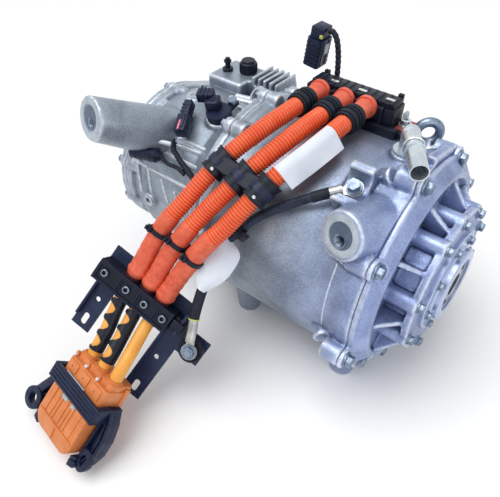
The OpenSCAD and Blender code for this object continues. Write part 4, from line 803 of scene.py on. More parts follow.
def bolts():
    """Bolts of the split flange, the hub, the axle flange and the gearbox."""
    split_x = SPLIT_X + COVER_FLANGE_T
    split = [on_axle(split_x, MAIN_BOLT_R + step, angle) for angle, step in MAIN_BOLTS]
    bolt_set("split_bolts", "main_bolts", split, MAIN_BOLT)
    hub = [on_axle(HUB_FACE_X, HUB_BOLT_R, angle) for angle in HUB_BOLTS]
    bolt_set("hub_flange_bolts", "hub_bolts", hub, HUB_BOLT)
    axle = [on_axle(AXLE_PLATE_X, AXLE_BOLT_R, angle) for angle in AXLE_BOLTS]
    bolt_set("axle_flange_bolts", "axle_bolts", axle, AXLE_BOLT)
    lid = [placed((LID_X - LID_T, y, z), (0, -90, 0)) for y, z in lid_bolt_places()]
    joint = [on_axle(JOINT_X - JOINT_FLANGE_T, JOINT_BOLT_R, angle, -1) for angle in JOINT_BOLTS]
    bolt_set("gearbox_case_bolts", "gearbox_bolts", lid + joint, HUB_BOLT)


# Cables, with places in millimetres along them
CORRUGATION = 3.3
CORRUGATION_DEPTH = 1.6
SHRINK_STARTS = (200, 203, 203)
SHRINK_ENDS_BEFORE = 12
COLLAR_ENDS_BEFORE = 3
SHRINK_RISE = 0.55


def ribbed(s, radius, pitch, depth):
    """Radius at a place along a corrugated tube, with round crests and narrow valleys."""
    wave = 0.5 - 0.5 * math.cos(2 * math.pi * s / pitch)
    return radius - depth * (1 - wave) ** 1.6


def part_of(line, step, start, end):
    """The points of a line between two places along it."""
    return line[max(0, round(start / step)):round(end / step) + 1]


def shrunk_radius(s, left, k):
    """Radius along a shrunk sleeve, with wrinkles, a bulge and a lip towards its lower end."""
    wrinkle = 0.55 * math.sin(s * 0.62 + 1.7 * k) * math.exp(-left / 26)
    bulge = 0.9 * math.exp(-((left - 8) / 6) ** 2)
    lip = 0.9 * math.exp(-left / 3.0)
    start = 0.5 * math.exp(-s / 2.0)
    return CONDUIT_R + SHRINK_RISE + wrinkle + bulge - lip - start


def conduit(k):
    """Corrugated conduit with the shrunk sleeve and a dark maroon collar at its lower end."""
    number = k + 1
    line, step = smooth_route(CONDUIT_ROUTES[k], CORRUGATION / 6)
    length = step * (len(line) - 1)
    start, end = SHRINK_STARTS[k], length - SHRINK_ENDS_BEFORE
    radii = []
    for i in range(len(line)):
        s = i * step
        smooth = s > start + 4
        radii.append(CONDUIT_R - 0.5 if smooth else ribbed(s, CONDUIT_R, CORRUGATION, CORRUGATION_DEPTH))
    cord = tube_curve(f"conduit_cover_{number}", line, radii, conduit_cover, [f"conduit_{number}"],
                      "orange_cover")
    stretch = part_of(line, step, start, end)
    rings = [shrunk_radius(i * step, (len(stretch) - 1 - i) * step, k) for i in range(len(stretch))]
    sleeve = tube_curve(f"shrink_sleeve_{number}", stretch, rings, shrink_cover, slot="orange_cover")
    # A dark maroon collar at the lower end, past the shrunk sleeve.
    neck = part_of(line, step, end - 3, length - COLLAR_ENDS_BEFORE)
    collar = tube_curve(f"dark_collar_{number}", neck, CONDUIT_R - 0.25, dark_maroon_collar,
                        slot="black_rubber")
    at_mm(CONDUIT_ROUTES[k][0])


def lead(k):
    """Amber phase lead from the clamp bar into the plug, two of them in a split guard."""
    number = k + 1
    line, step = smooth_route(LEAD_ROUTES[k], 1.2)
    cord = tube_curve(f"lead_cover_{number}", line, LEAD_R, lead_cover, [f"lead_{number}"], "lead_cover")
    guard = lead_guard(k, line) if k < 2 else None
    at_mm(LEAD_ROUTES[k][0])


def line_frames(line, side):
    """Side and upper direction at each point of a line, kept square to it."""
    frames = []
    for i in range(len(line)):
        ahead = (line[min(i + 1, len(line) - 1)] - line[max(i - 1, 0)]).normalized()
        across = (side - ahead * side.dot(ahead)).normalized()
        frames.append((across, across.cross(ahead)))
    return frames


# Split guard of a lead: shares along it, degrees around it, and its windows
GUARD_SPAN = (0.06, 0.9)
GUARD_ANGLES = (-75, 225)
GUARD_WINDOWS = 4
WINDOW_SPAN = (0.08, 0.9)
WINDOW_REACH = 104


def lead_guard(k, line):
    """Black split guard on a lead, with curved windows along its open side."""
    open_side = Vector((-0.779, -0.627, 0.0))
    frames = line_frames(line, open_side)
    radius = LEAD_R + 0.25

    def within(span, share):
        return span[0] + (span[1] - span[0]) * share

    def place_of(across, along):
        i = within(GUARD_SPAN, along) * (len(line) - 1)
        a = min(int(i), len(line) - 2)
        angle = math.radians(within(GUARD_ANGLES, across))
        side, up = frames[a]
        centre = line[a].lerp(line[a + 1], i - a)
        return centre + radius * (math.cos(angle) * side + math.sin(angle) * up)

    def keep(across, along):
        start, end = WINDOW_SPAN
        t = (along * GUARD_WINDOWS) % 1.0
        if not start < t < end:
            return True
        reach = WINDOW_REACH * math.sin(math.pi * (t - start) / (end - start)) ** 0.5
        return within(GUARD_ANGLES, across) > reach
    guard = Build().sheet(64, 110, place_of, -1.1, keep)
    return piece(f"lead_guard_{k + 1}", guard, [black_plastic], slot="black_plastic", crease=50)


# Lengths and places along the earth strap
STRAP_UPPER_L = 17
STRAP_CLIP_AT = 104
STRAP_SHRINK_FROM = 177
STRAP_SHRINK_ENDS_BEFORE = 13
STRAP_RING_BEFORE = (13.5, 12.1)
STRAP_CRIMP_L = 12
STRAP_PITCH = 2.7
STRAP_DEPTH = 0.55


def earth_strap():
    """Ribbed loom on the earth strap, with its shrunk end, yellow ring and clip."""
    line, step = smooth_route(STRAP_ROUTE, 0.45)
    length = step * (len(line) - 1)
    ribs_end = STRAP_SHRINK_FROM + 3
    radii = [ribbed(i * step, STRAP_R, STRAP_PITCH, STRAP_DEPTH) if i * step < ribs_end else STRAP_R - 0.3
             for i in range(len(line))]
    cord = tube_curve("strap_loom", line, radii, loom_cover, ["earth_strap"], "black_rubber")
    lower = part_of(line, step, STRAP_SHRINK_FROM, length - STRAP_SHRINK_ENDS_BEFORE)
    upper = part_of(line, step, 0, STRAP_UPPER_L)
    ring = part_of(line, step, *(length - before for before in STRAP_RING_BEFORE))
    crimp = part_of(line, step, length - STRAP_CRIMP_L, length)
    sleeves = [
        tube_curve("strap_sleeve_lower", lower, STRAP_R + 0.8, black_rubber, slot="black_rubber"),
        tube_curve("strap_sleeve_upper", upper, STRAP_R + 0.5, black_rubber, slot="black_rubber"),
        tube_curve("strap_ring", ring, STRAP_R + 1.0, yellow_mark, slot="black_rubber"),
        tube_curve("strap_crimp", crimp, STRAP_R + 0.3, tinned, slot="tinned_copper"),
    ]
    i = round(STRAP_CLIP_AT / step)
    build = Build(aimed(line[i], line[i + 4]))
    inner, outer = STRAP_R + 0.1, STRAP_R + 1.6
    build.lathe([(inner, -4), (outer, -4), (outer, 4), (inner, 4)], None, 0, 28, closed=True)
    build.box((STRAP_R, -3.5, -3.5), (STRAP_R + 9, 3.5, 3.5), bevel=1.0)
    build.box((STRAP_R + 6, -5, -5), (STRAP_R + 8, 5, 5), bevel=0.6)
    sleeves.append(piece("strap_clip", build, [black_plastic], slot="black_plastic"))
    at_mm(STRAP_ROUTE[0])


def signal_cables(plug):
    """Taped pigtail to the upper plug, and the short harness along the gearbox."""
    line, step = smooth_route(PIGTAIL_ROUTE, 0.8)
    radii = [PIGTAIL_R + 0.25 * math.sin(i * step * 1.1) for i in range(len(line))]
    pigtail = tube_curve("pigtail_tape", line, radii, black_rubber, ["pigtail_cable"], "black_rubber")
    at_mm(PIGTAIL_ROUTE[0])
    line, step = smooth_route(HARNESS_ROUTE, 0.8)
    radii = [HARNESS_R + 0.3 * math.sin(i * step * 1.4) for i in range(len(line))]
    harness = tube_curve("harness_tape", line, radii, black_rubber, ["sensor_harness"], "black_rubber")
    at_mm(HARNESS_ROUTE[0])


# Plug at the end of the leads
PLUG_W = 68
PLUG_H = 40
PLUG_NOSE_Y = -50
PLUG_JOINT_Y = 10
PLUG_REAR_Y = 42
LEAD_PITCH = 21.5
LEAD_Z = 22
LEVER_PIVOT_Y = -38
LEVER_PIVOT_Z = 15
LEVER_HALF = PLUG_W / 2 + 1
LEVER_ARM_W = 8
LEVER_ARM_Z = LEVER_PIVOT_Z - 7
LEVER_BAR_Z = PLUG_H + 0.5
ALONG_Y = Matrix.Rotation(math.radians(90), 4, "X")


def plug_front():
    """Front shell: sloped nose with its socket, a cross ridge and rows of flat ribs."""
    build = Build(PLUG)
    half = PLUG_W / 2 - 1
    corner = 15
    outline = [(half, PLUG_JOINT_Y), (-half, PLUG_JOINT_Y)]
    for side, first in ((-1, 180), (1, 270)):
        for i in range(9):
            s = math.radians(first + 90 * i / 8)
            outline.append((side * (half - corner) + corner * math.cos(s),
                            PLUG_NOSE_Y + corner + corner * math.sin(s)))
    build.prism(outline, 0, PLUG_H, None, 0, bevel=0)
    slope = math.radians(12)
    build.trim((0, PLUG_NOSE_Y + 18, PLUG_H), (0, -math.sin(slope), math.cos(slope)))
    ahead = PLUG.to_3x3() @ Vector((0, -1, 0))
    nose = max(build.mesh.faces, key=lambda f: f.normal.dot(ahead) * f.calc_area())
    bmesh.ops.inset_region(build.mesh, faces=[nose], thickness=5 * MM)
    bmesh.ops.translate(build.mesh, verts=nose.verts, vec=PLUG.to_3x3() @ at_mm((0, 22, 0)))
    build.bevel([e for e in build.mesh.edges if e.calc_face_angle(0) > 1.0], 1.2, 3)
    build.paint(0)
    ribs = ((-27, -22), (-19.5, -13), (-11, -8), (-6.5, 2), (4, 7.5), (9.5, 13), (15.5, 25))
    for x0, x1 in ribs:
        build.box((x0, -29, PLUG_H - 1), (x1, 4, PLUG_H + 1.1), bevel=0.5)
    build.box((-31, -33, PLUG_H - 1), (31, -30.5, PLUG_H + 1.4), bevel=0.5)
    build.box((1, -48, PLUG_H - 5), (2.4, -32, PLUG_H - 0.1), bevel=0.3, turn=(12, 0, 0))
    build.rod((-50, LEVER_PIVOT_Y, LEVER_PIVOT_Z), (50, LEVER_PIVOT_Y, LEVER_PIVOT_Z), 4)
    for x in (-10, 0, 10):
        build.rod((x, PLUG_NOSE_Y + 22, 17), (x, PLUG_NOSE_Y + 8, 17), 3, finish=1)
    return piece("plug_front_shell", build, [plug_orange, bright_steel], replaces=["plug_front"],
                 slot="orange_plastic")


def plug_rear():
    """Rear shell: three tiles, each with its small hole drawn as a dark patch of painted shade, lead collars,
    side step and lock pins.
    """
    build = Build(PLUG)
    for inset, drop, end in ((0, 1, PLUG_REAR_Y - 6), (4, 7, PLUG_REAR_Y)):
        outline = rounded_outline(PLUG_W - inset, PLUG_H - drop, 6)
        build.prism(outline, -end, -PLUG_JOINT_Y, ALONG_Y, bevel=1.0)
    for k in (-1, 0, 1):
        x = k * LEAD_PITCH
        build.box((x - 8.2, 22.5, PLUG_H - 3), (x + 8.2, 34, PLUG_H + 0.8), bevel=0.8)
        # Dark patch of painted shade standing in for the small hole.
        build.box((x - 1.2, 27, PLUG_H + 0.2), (x + 0.4, 29, PLUG_H + 0.95), finish=1, bevel=0.15)
        build.tube((x, PLUG_REAR_Y - 6, LEAD_Z), (x, PLUG_REAR_Y + 2.5, LEAD_Z), 10.2, LEAD_R + 0.25)
        build.tube((x, PLUG_REAR_Y - 6, LEAD_Z), (x, PLUG_REAR_Y + 0.5, LEAD_Z), 11.6, 9.8, finish=0)
        build.rod((x - 8.5, 37.5, PLUG_H - 6), (x - 8.5, 37.5, PLUG_H - 1.6), 1.7, finish=2)
        build.box((x - 10.2, 36, PLUG_H - 8), (x - 6.8, 41.5, PLUG_H - 4), bevel=0.5)
    for side in (-1, 1):
        near, far = sorted(side * (PLUG_W / 2 + step) for step in (-1.2, 1.6))
        build.box((near, 14, 6), (far, 40, 12), bevel=0.6)
    return piece("plug_rear_shell", build, [plug_orange, plug_hole_shade, paper], replaces=["plug_rear"],
                 slot="orange_plastic")


def rail_outline(edge, near, far):
    """A strip between two distances inside an outer edge that runs down along Y."""
    return [(x - near, y) for x, y in edge] + [(x - far, y) for x, y in reversed(edge)]


def oval_ring(middle, outer, inner, steps=14):
    """Outlines of the two halves of an oval ring."""
    halves = []
    for first in (0, 180):
        turns = [math.radians(first + 180 * i / steps) for i in range(steps + 1)]
        rim = [(middle[0] + outer[0] * math.cos(t), middle[1] + outer[1] * math.sin(t)) for t in turns]
        bore = [(middle[0] + inner[0] * math.cos(t), middle[1] + inner[1] * math.sin(t)) for t in turns]
        halves.append(rim + bore[::-1])
    return halves


def beside_plug(points, side):
    """Outline measured from the lever's inner face, on the right side or mirrored to the left."""
    return [(side * (LEVER_HALF + x), y) for x, y in points][::side]


def lever_arm(build, side):
    """A bowed arm with its two rails, its post, floor, ribs, claw and thumb grip."""
    wide = LEVER_ARM_W
    top = LEVER_ARM_Z + 14
    arm = [(0, 20), (6, 20), (6 + wide, 6), (11 + wide, -12), (11 + wide, -30), (6 + wide, -46), (wide, -53),
           (2, -50), (6, -43), (11, -28), (11, -12), (6, 2), (0, 4)]
    build.prism(beside_plug(arm, side), LEVER_ARM_Z, top, bevel=1.6, segments=3)
    for near, far, rise in ((0.0, 3.0, 3.2), (6.0, 8.0, 2.2)):
        rail = rail_outline(arm[1:7], near, far)
        build.prism(beside_plug(rail, side), top - 2, top + rise, bevel=0.8)
    low, high = sorted((side * LEVER_HALF, side * (LEVER_HALF + 7)))
    build.box((low, 2, LEVER_ARM_Z), (high, 20, LEVER_BAR_Z + 4), bevel=1.4, segments=3)
    floor = [(0.6, 4), (6.5, 2.5), (11.5, -12), (11.5, -28), (7, -41), (0.6, -36)]
    rib = [(0.6, 4), (3.6, 3), (3.6, -30), (0.6, -30)]
    cross = [(0.6, -30), (wide + 10.6, -28), (wide + 10.6, -31.5), (0.6, -33.5)]
    claw = [(-4, -49), (6, -47), (6, -54), (-3, -56.5)]
    thumb = [(-3.4, -44.4), (5, -41), (5, -45), (-3, -47.6)]
    heights = ((floor, 14, 19), (rib, 12, 25), (cross, 12, 25.5), (claw, 14, 30), (thumb, 16, 31))
    for shape, low, high in heights:
        build.prism(beside_plug(shape, side), low, high, bevel=0.8)


def plug_lever():
    """Locking lever: ridged bar over the plug, two bowed arms on its pivot and a loop at each end."""
    build = Build(PLUG)
    half, bar_z = LEVER_HALF, LEVER_BAR_Z
    build.box((-half - 7, 2, bar_z), (half + 7, 20, bar_z + 4.2), bevel=1.2, segments=3)
    for y in (5, 9, 13, 17):
        build.box((-half - 5, y - 0.7, bar_z + 3.8), (half + 5, y + 0.7, bar_z + 5), bevel=0.35)
    for side in (1, -1):
        lever_arm(build, side)
    loops = (((half + 10, -41), 19, 26, (9.5, 12.5)), ((-56, -41), 22, 31, (14, 12.5)))
    for middle, low, high, wide in loops:
        for half_ring in oval_ring(middle, wide, (wide[0] * 0.42, wide[1] * 0.52)):
            build.prism(half_ring, low, high, bevel=1.0)
    loop_root = [(-half - 1, 12), (-half - 9, 8), (-half - 27, -30), (-half - 18, -36), (-half - 4, -4)]
    build.prism(loop_root, 16, 30, bevel=1.4)
    for side in (1, -1):
        for y in (-12, -22):
            build.rod((side * (half + 9), y, LEVER_ARM_Z + 13),
                      (side * (half + LEVER_ARM_W + 10.6), y - 4, LEVER_ARM_Z + 13.6), 0.9)
    for x, w in ((-12, 10), (6, 6)):
        build.box((x, -4, bar_z - 0.2), (x + w, 2.5, bar_z + 1.2), finish=1, bevel=0.4)
    build.box((-24, 19.5, bar_z - 0.2), (10, 21, bar_z + 1.4), finish=1, bevel=0.3)
    return piece("plug_lock_lever", build, [navy_plastic, grey_clip], body="lever", replaces=["plug_lever"],
                 slot="black_plastic")


# Clamp bar, bracket and bush
def facing(route, i):
    """A frame half way between two points of a route: Y along it, Z towards the camera."""
    a, b = Vector(route[i]), Vector(route[i + 1])
    along = (b - a).normalized()
    up = (TOWARDS_CAMERA - along * TOWARDS_CAMERA.dot(along)).normalized()
    place = Matrix((along.cross(up), along, up)).transposed().to_4x4()
    place.translation = at_mm(a.lerp(b, 0.5))
    return place


def clamp_bar_trim():
    """Eyelets, partitions and rims on the clamp bar, and the latch at its end."""
    build = Build(BRACKET)
    for x in (-46, -16, 9, 34):
        build.lathe([(2.3, 11.7), (3.9, 11.7), (4.1, 12.2), (3.6, 12.6), (2.6, 12.4)],
                    placed((x, 0, 0)), 1, 28, closed=True)
        # Partitions take the lighter blue black plastic as a painted highlight along them.
        for step in (-11, -8.5):
            build.box((x + step, -9, 9.8), (x + step + 1.2, 8.6, 12.1), finish=2, bevel=0.3)
    # The rims likewise take the lighter blue black plastic as a painted highlight.
    for y in (-11.6, -9.4, 8.4, 11.6):
        build.box((-56, y - 0.35, 11.6), (42, y + 0.35, 12.4), finish=2, bevel=0.2)
    for x in (-56, 41):
        build.box((x - 0.8, -12.4, -11), (x + 1.8, 12.4, 12.3), bevel=0.5)
    build.box((43, -6, -12), (54, 10, 4), bevel=1.0)
    build.box((44, -2, 2), (58, 8, 10), bevel=1.0)
    piece("clamp_bar_trim", build, [black_plastic, bolt_steel, navy_plastic], slot="black_plastic")


CLAMP_AT = 4
CLAMP_RIM_R = CONDUIT_R + 3.4
TIE_AT = 7


def clamp_strap():
    """Strap over the three-way clamp, its lips and the two rivets on its lower rim."""
    frames = [facing(route, CLAMP_AT) for route in CONDUIT_ROUTES]
    build = Build()
    points = []
    for k, place in enumerate(frames):
        first, last = (-95 if k == 0 else -40), (95 if k == 2 else 40)
        for angle in range(first, last + 1, 9):
            turn = math.radians(angle)
            reach = CLAMP_RIM_R + 0.4
            points.append(place @ at_mm((-reach * math.sin(turn), 0, reach * math.cos(turn))) / MM)
        for y in (-13, 13):
            build.lathe([(CLAMP_RIM_R - 2, -0.7), (CLAMP_RIM_R + 0.5, -0.7), (CLAMP_RIM_R + 0.8, 0),
                         (CLAMP_RIM_R + 0.5, 0.7), (CLAMP_RIM_R - 2, 0.7)],
                        place @ placed((0, y, 0), (90, 0, 0)), 0, 48, closed=True)
        if k != 1:
            low, high = (place @ at_mm((0, 9.5, CLAMP_RIM_R + z)) / MM for z in (-0.6, 0.5))
            build.rod(low, high, 1.9, finish=1)
    path = smooth_route(points, 1.0)[0]
    along = frames[1].to_3x3() @ Vector((0, 1, 0))

    def place_of(across, share):
        return path[round(share * (len(path) - 1))] + along * (8.5 * (across - 0.5))
    piece("clamp_strap", Build().sheet(6, 120, place_of, 1.5), [navy_plastic], slot="black_plastic",
          crease=50)
    piece("clamp_lips", build, [black_plastic, bright_steel], slot="black_plastic")


def tie_heads():
    """Heads and cut tails of the three cable ties."""
    build = Build()
    for k, route in enumerate(CONDUIT_ROUTES):
        build.place = facing(route, TIE_AT) @ placed((0, 0, 0), (0, 52 - 10 * k, 0))
        build.box((-3.6, -3.4, CONDUIT_R + 1.4), (3.6, 3.4, CONDUIT_R + 5.6), bevel=0.7)
        build.box((-1.1, -2.4, CONDUIT_R + 5), (1.1, 2.4, CONDUIT_R + 8.4), bevel=0.3)
    piece("tie_heads", build, [black_plastic], slot="black_plastic")


def earth_bush():
    """Rubber bush with a moulded rim, and its stud, washer and nut."""
    build = Build(BRACKET @ placed(EARTH_BUSH_AT))
    build.lathe([(0, 0), (14, 0), (14, 9.6), (13, 11), (11.6, 11), (11, 10.2), (9.4, 10.2), (9, 11),
                 (0, 11)], None, 0, 48)
    build.lathe([(0, 13.9), (8.2, 13.9), (8.2, 15.2), (0, 15.2)], placed((0, 0, 2.2)), 1, 36)
    build.prism(circle_outline(6.2, 6), 17.3, 21, None, 1, bevel=0.5)
    build.rod((0, 0, 20), (0, 0, 23.2), 3.6, finish=1)
    piece("earth_bush_rubber", build, [black_rubber, bolt_steel], replaces=["earth_bush"],
          slot="black_rubber")


# Top of the motor
def terminal_block():
    """Terminal block with its ribbed lid, partitions, clips and gasket tab."""
    x0, y0, z0 = TERMINAL_LOW
    x1, y1, z1 = TERMINAL_HIGH
    build = Build()
    build.box((x0, y0, z0), (x1, y1, z1 - 5), bevel=1.6)
    build.box((x0 + 2, y0 + 3, z1 - 6), (x1 - 2, y1 - 1, z1), bevel=1.4)
    build.box((x0 - 4, y0 + 4, z0), (x0 + 1, y1 - 4, z1 - 8), bevel=1.0)
    for x in (-226, -196, -166, -136):
        build.box((x, y0 - 5, z0 + 8), (x + 4, y0 + 4, z1 - 3), bevel=0.8)
    for x in range(-219, -124, 9):
        build.box((x, y0 + 2, z1 - 1), (x + 4, y1 - 3, z1 + 0.9), bevel=0.5)
    for x in (-205, -170, -137):
        build.box((x, y0 + 9, z1 + 0.2), (x + 10, y0 + 13, z1 + 1.6), finish=1, bevel=0.4)
        build.box((x + 1, y0 + 1.6, z1 - 7), (x + 8, y0 + 4, z1 + 0.6), bevel=0.6)
    for x in (x0 + 4, x1 - 10):
        build.box((x, y1 - 1, z0 + 6), (x + 6, y1 + 4, z1 + 2), bevel=0.8)
    build.box((x1 - 1, y0, z0), (x1 + 16, y1 + 6, z0 + 7.4), bevel=1.0)
    build.box((x1 + 1, y0 + 6, z0 + 7), (x1 + 15, y1 + 4, z0 + 9), finish=2, bevel=0.6)
    build.box((-166, y0 - 7, z0 - 3), (x1 + 8, y0 + 2, z0 + 12), bevel=2.0)
    build.box((x1 + 2, y1 - 6, z0 + 8), (x1 + 6, y1 + 2, z0 + 20), finish=3, bevel=0.6)
    piece("terminal_cover", build, [black_plastic, bright_steel, gasket_red, grey_clip],
          replaces=["terminal_block"], slot="black_plastic")


def gland_rings():
    """Lips on the glands where the conduits enter."""
    build = Build()
    for x in BOOT_AT:
        build.lathe([(10.4, -1.2), (12.2, -1.2), (13.0, 0), (12.2, 1.2), (10.4, 1.2)],
                    placed((x, -8, BOOT_Z), (90, 0, 0)), 0, 40, closed=True)
        build.lathe([(13.2, -1.0), (14.4, -0.5), (14.4, 0.5), (13.2, 1.0)],
                    placed((x, 3, BOOT_Z), (90, 0, 0)), 0, 40, closed=True)
    piece("gland_lips", build, [black_rubber], slot="black_rubber")


def pigtail_plug():
    """Ribbed signal plug hanging on the pigtail, open at its mouth."""
    place = aimed(PIGTAIL_PLUG_AT, PIGTAIL_PLUG_MOUTH)
    build = Build(place)
    build.box((-10, -8, 0), (10, 8, 14), bevel=1.4)
    build.prism(rounded_outline(24, 20, 3), 13, 46, placed((0, -10, 0)), 0, bevel=0)
    ahead = place.to_3x3() @ Vector((0, 0, 1))
    mouth = max(build.mesh.faces, key=lambda f: f.normal.dot(ahead) * f.calc_area())
    bmesh.ops.inset_region(build.mesh, faces=[mouth], thickness=2.6 * MM)
    bmesh.ops.translate(build.mesh, verts=mouth.verts, vec=place.to_3x3() @ at_mm((0, 0, -21)))
    build.paint(0)
    for z in (17, 22, 27, 32, 37, 42):
        build.box((-12.8, -9, z), (-11.4, 9, z + 2), bevel=0.4)
        build.box((11.4, -9, z), (12.8, 9, z + 2), bevel=0.4)
    for y in (-10.8, 9.4):
        build.box((-7, y, 15), (-3, y + 1.4, 44), bevel=0.4)
        build.box((3, y, 15), (7, y + 1.4, 44), bevel=0.4)
    build.box((-4, -11.6, 18), (4, -9.6, 30), finish=1, bevel=0.5)
    build.box((9, -8.6, 6), (11, -5, 10), finish=2, bevel=0.3)
    return piece("pigtail_socket_plug", build, [navy_plastic, grey_clip, yellow_mark],
                 replaces=["pigtail_plug"], slot="black_plastic")


def pipe_clip():
    """Wire ring that holds a hose on the coolant inlet."""
    yaw = math.radians(INLET_YAW)
    start = Vector(INLET_AT)
    ahead = Vector((math.sin(yaw), -math.cos(yaw), 0))
    build = Build(aimed(start + ahead * 22, start + ahead * 60))
    build.lathe(wire_profile(9.9, 0.8), None, 0, 48, closed=True)
    build.lathe(wire_profile(5.5, 0.8), placed((13.5, 0, 0), (60, 0, 20)), 0, 32, closed=True)
    piece("coolant_hose_clip", build, [bright_steel], slot="plated_steel")


# Gearbox top
def speed_sensor():
    """Barrel sensor beside the horn, with its bright end and cable knee."""
    build = Build(placed(SPEED_SENSOR_AT, SPEED_SENSOR_TURN))
    build.lathe([(0, 0), (5.2, 0), (7.6, 0.6), (8.5, 1.6), (8.5, 34), (4, 40), (0, 40)], None, 0, 40)
    for z in (8, 13, 27):
        build.lathe([(8.3, z), (8.9, z + 0.5), (8.9, z + 1.8), (8.3, z + 2.3)], None, 0, 40, closed=True)
    build.lathe([(0, -0.9), (4.6, -0.9), (5.4, -0.2), (5.4, 0.4), (0, 0.4)], None, 1, 32)
    knee = math.radians(70)
    build.rod((-3, 0, 20), (-3, 14 * math.sin(knee), 20 + 14 * math.cos(knee)), 5)
    piece("speed_sensor_barrel", build, [navy_plastic, bright_steel], replaces=["speed_sensor"],
          slot="black_plastic")


def oil_sensor():
    """Round sensor with its bolt and a slanted, ribbed connector."""
    build = Build(outward(OIL_SENSOR_X, OIL_SENSOR_ANGLE) @ placed((0, 0, SENSOR_PAD_R)))
    build.lathe([(0, 0), (15, 0), (15, 8.6), (13.6, 10), (0, 10)], None, 0, 48)
    build.box((-2, 0, 0), (8, 28, 6), bevel=1.2)
    build.rod((3, 22, 6), (3, 22, 10.4), 5.6, finish=1)
    slant = (0, 0, 25)
    build.box((-16, -6, 10), (0, 10, 21.6), bevel=1.6, turn=slant)
    build.box((-30, -2, 14), (-10, 11, 26), bevel=1.4, turn=slant)
    for x in (-27, -22, -17):
        build.box((x, -2.8, 15), (x + 2, 11.8, 26.8), bevel=0.5, turn=slant)
    build.box((-9, -1, 20.8), (-5, 6, 22.8), bevel=0.4, turn=slant)
    piece("oil_sensor_body", build, [navy_plastic, bolt_steel], replaces=["oil_sensor"], slot="black_plastic")


def sensor_plug():
    """Plug and socket of the sensor harness, with a pink lock."""
    pad = outward(SENSOR_PLUG_X, SENSOR_PLUG_ANGLE)
    build = Build(pad @ placed((0, 0, SENSOR_PAD_R), (0, 0, SENSOR_PLUG_YAW)))
    build.box((-7, -24, 0), (7, 0, 15), bevel=1.2)
    build.box((-5, -1, 1.5), (5, 21, 13.5), bevel=1.0)
    build.box((-3, -4, -5), (3, 8, 1), bevel=0.6)
    for y in (3, 8, 13):
        build.box((-5.7, y, 2.5), (5.7, y + 2.2, 14), bevel=0.5)
    build.box((-4.5, -20, 14.2), (4.5, -2, 16.2), bevel=0.7)
    build.box((-1.1, -23.5, 15.4), (1.1, -11, 17), finish=1, bevel=0.3)
    build.box((-7.8, -16, 3), (7.8, -12, 12), bevel=0.6)
    piece("sensor_plug_pair", build, [navy_plastic, pink_mark], replaces=["sensor_plug"],
          slot="black_plastic")


def breather_caps():
    """Breather nipple and the ribbed cap beside it."""
    build = Build(placed(BREATHER_AT))
    build.lathe([(0, 0), (7, 0), (7, 3.2), (6.2, 4), (3.5, 4.4), (3.5, 11), (5, 11.4), (5, 13.6), (3.5, 14),
                 (3.2, 16.6), (2.4, 17), (0, 17)], None, 0, 32)
    cap = placed((25, 12, 0))
    build.lathe([(0, 0), (11, 0), (11, 13), (10, 14), (9, 14.4), (9, 16.2), (8.2, 17), (0, 17)], cap, 0, 40)
    for i in range(18):
        spot = cap @ placed((0, 0, 0), (0, 0, 20 * i))
        build.prism(circle_outline(0.8, 6, 11.0, 0), 1.5, 12.5, spot, 0, bevel=0)
    piece("breather_caps", build, [black_plastic], replaces=["breather"], slot="black_plastic")


# Ribs on the case: both ends and the radius
CASE_RIBS = [
    ((-353, -84, 80), (-327, -68.5, 74.5), 3.2), ((-327, -68.5, 74.5), (-296, -68, 77), 3.2),
    ((-388, -91, 38), (-374, -101.5, 6), 2.4), ((-366, -92.5, 42), (-354, -102.5, 4), 2.4),
    ((-341, -95, 37), (-327, -101, 10), 2.4), ((-318, -97, 30), (-300, -101, -4), 2.4),
    ((-392, -60, 74), (-372, -66, 76), 2.6),
]


def gearbox_trim():
    """Small machined pads, rails and plugs on the upper side of the gearbox."""
    build = Build()
    for x, angle, radius in ((-400, 108, 95), (-364, 94, 104)):
        build.lathe([(0, radius - 1), (7.6, radius - 1), (7.6, radius + 0.5), (4.6, radius + 0.5),
                     (4.2, radius - 0.2), (0, radius - 0.2)], outward(x, angle), 0, 36)
    lug = outward(-357, 178)
    build.lathe([(3.4, CASE_R + 2), (7.8, CASE_R + 2), (7.8, CASE_R + 6.5), (3.8, CASE_R + 6.5),
                 (3.4, CASE_R + 6.1)], lug, 0, 36, closed=True)
    build.tube((-276, 42, 96), (-290, 24, 116), 12, 6.5, finish=1, bevel=1.0)
    build.tube((-288.6, 25.8, 114), (-290.4, 23.4, 116.6), 10.4, 6.4)
    for y, z, r in ((14, 104, 4.6), (26, 102, 4.2)):
        build.rod((-322, y, z), (-272, y + 6, z + 3), r, finish=1)
    for angle in (128, 141, 156):
        s = math.radians(angle)
        y, z = CASE_R * math.cos(s), CASE_R * math.sin(s)
        build.rod((-396, y * 0.97, z * 0.97), (-280, y, z), 2.6, finish=1, bevel=1.0)
    for start, end, r in CASE_RIBS:
        build.rod(start, end, r, finish=1, bevel=1.0)
    piece("gearbox_pad_faces", build, [face_metal, cast_metal], slot="cast_aluminium")


def sensor_wires():
    """Thin wires beside the harness, and the branch from the speed sensor."""
    for number, (across, rise) in enumerate(((-3.6, 1.5), (2.8, 3.2)), 1):
        route = [(x + across * 0.6, y - across * 0.8, z + rise + 1.2 * math.sin(i * 1.7 + number))
                 for i, (x, y, z) in enumerate(HARNESS_ROUTE)]
        line, step = smooth_route(route, 1.0)
        tube_curve(f"sensor_wire_{number}", line, 1.5, black_rubber, slot="black_rubber")
    branch = [(-345, -89, 65), (-336, -92, 64), (-325, -94, 64), (-312, -94, 65), (-300, -95, 62)]
    line, step = smooth_route(branch, 0.8)
    radii = [2.5 + 0.25 * math.sin(i * step * 1.4) for i in range(len(line))]
    tube_curve("speed_sensor_lead", line, radii, black_rubber, slot="black_rubber")


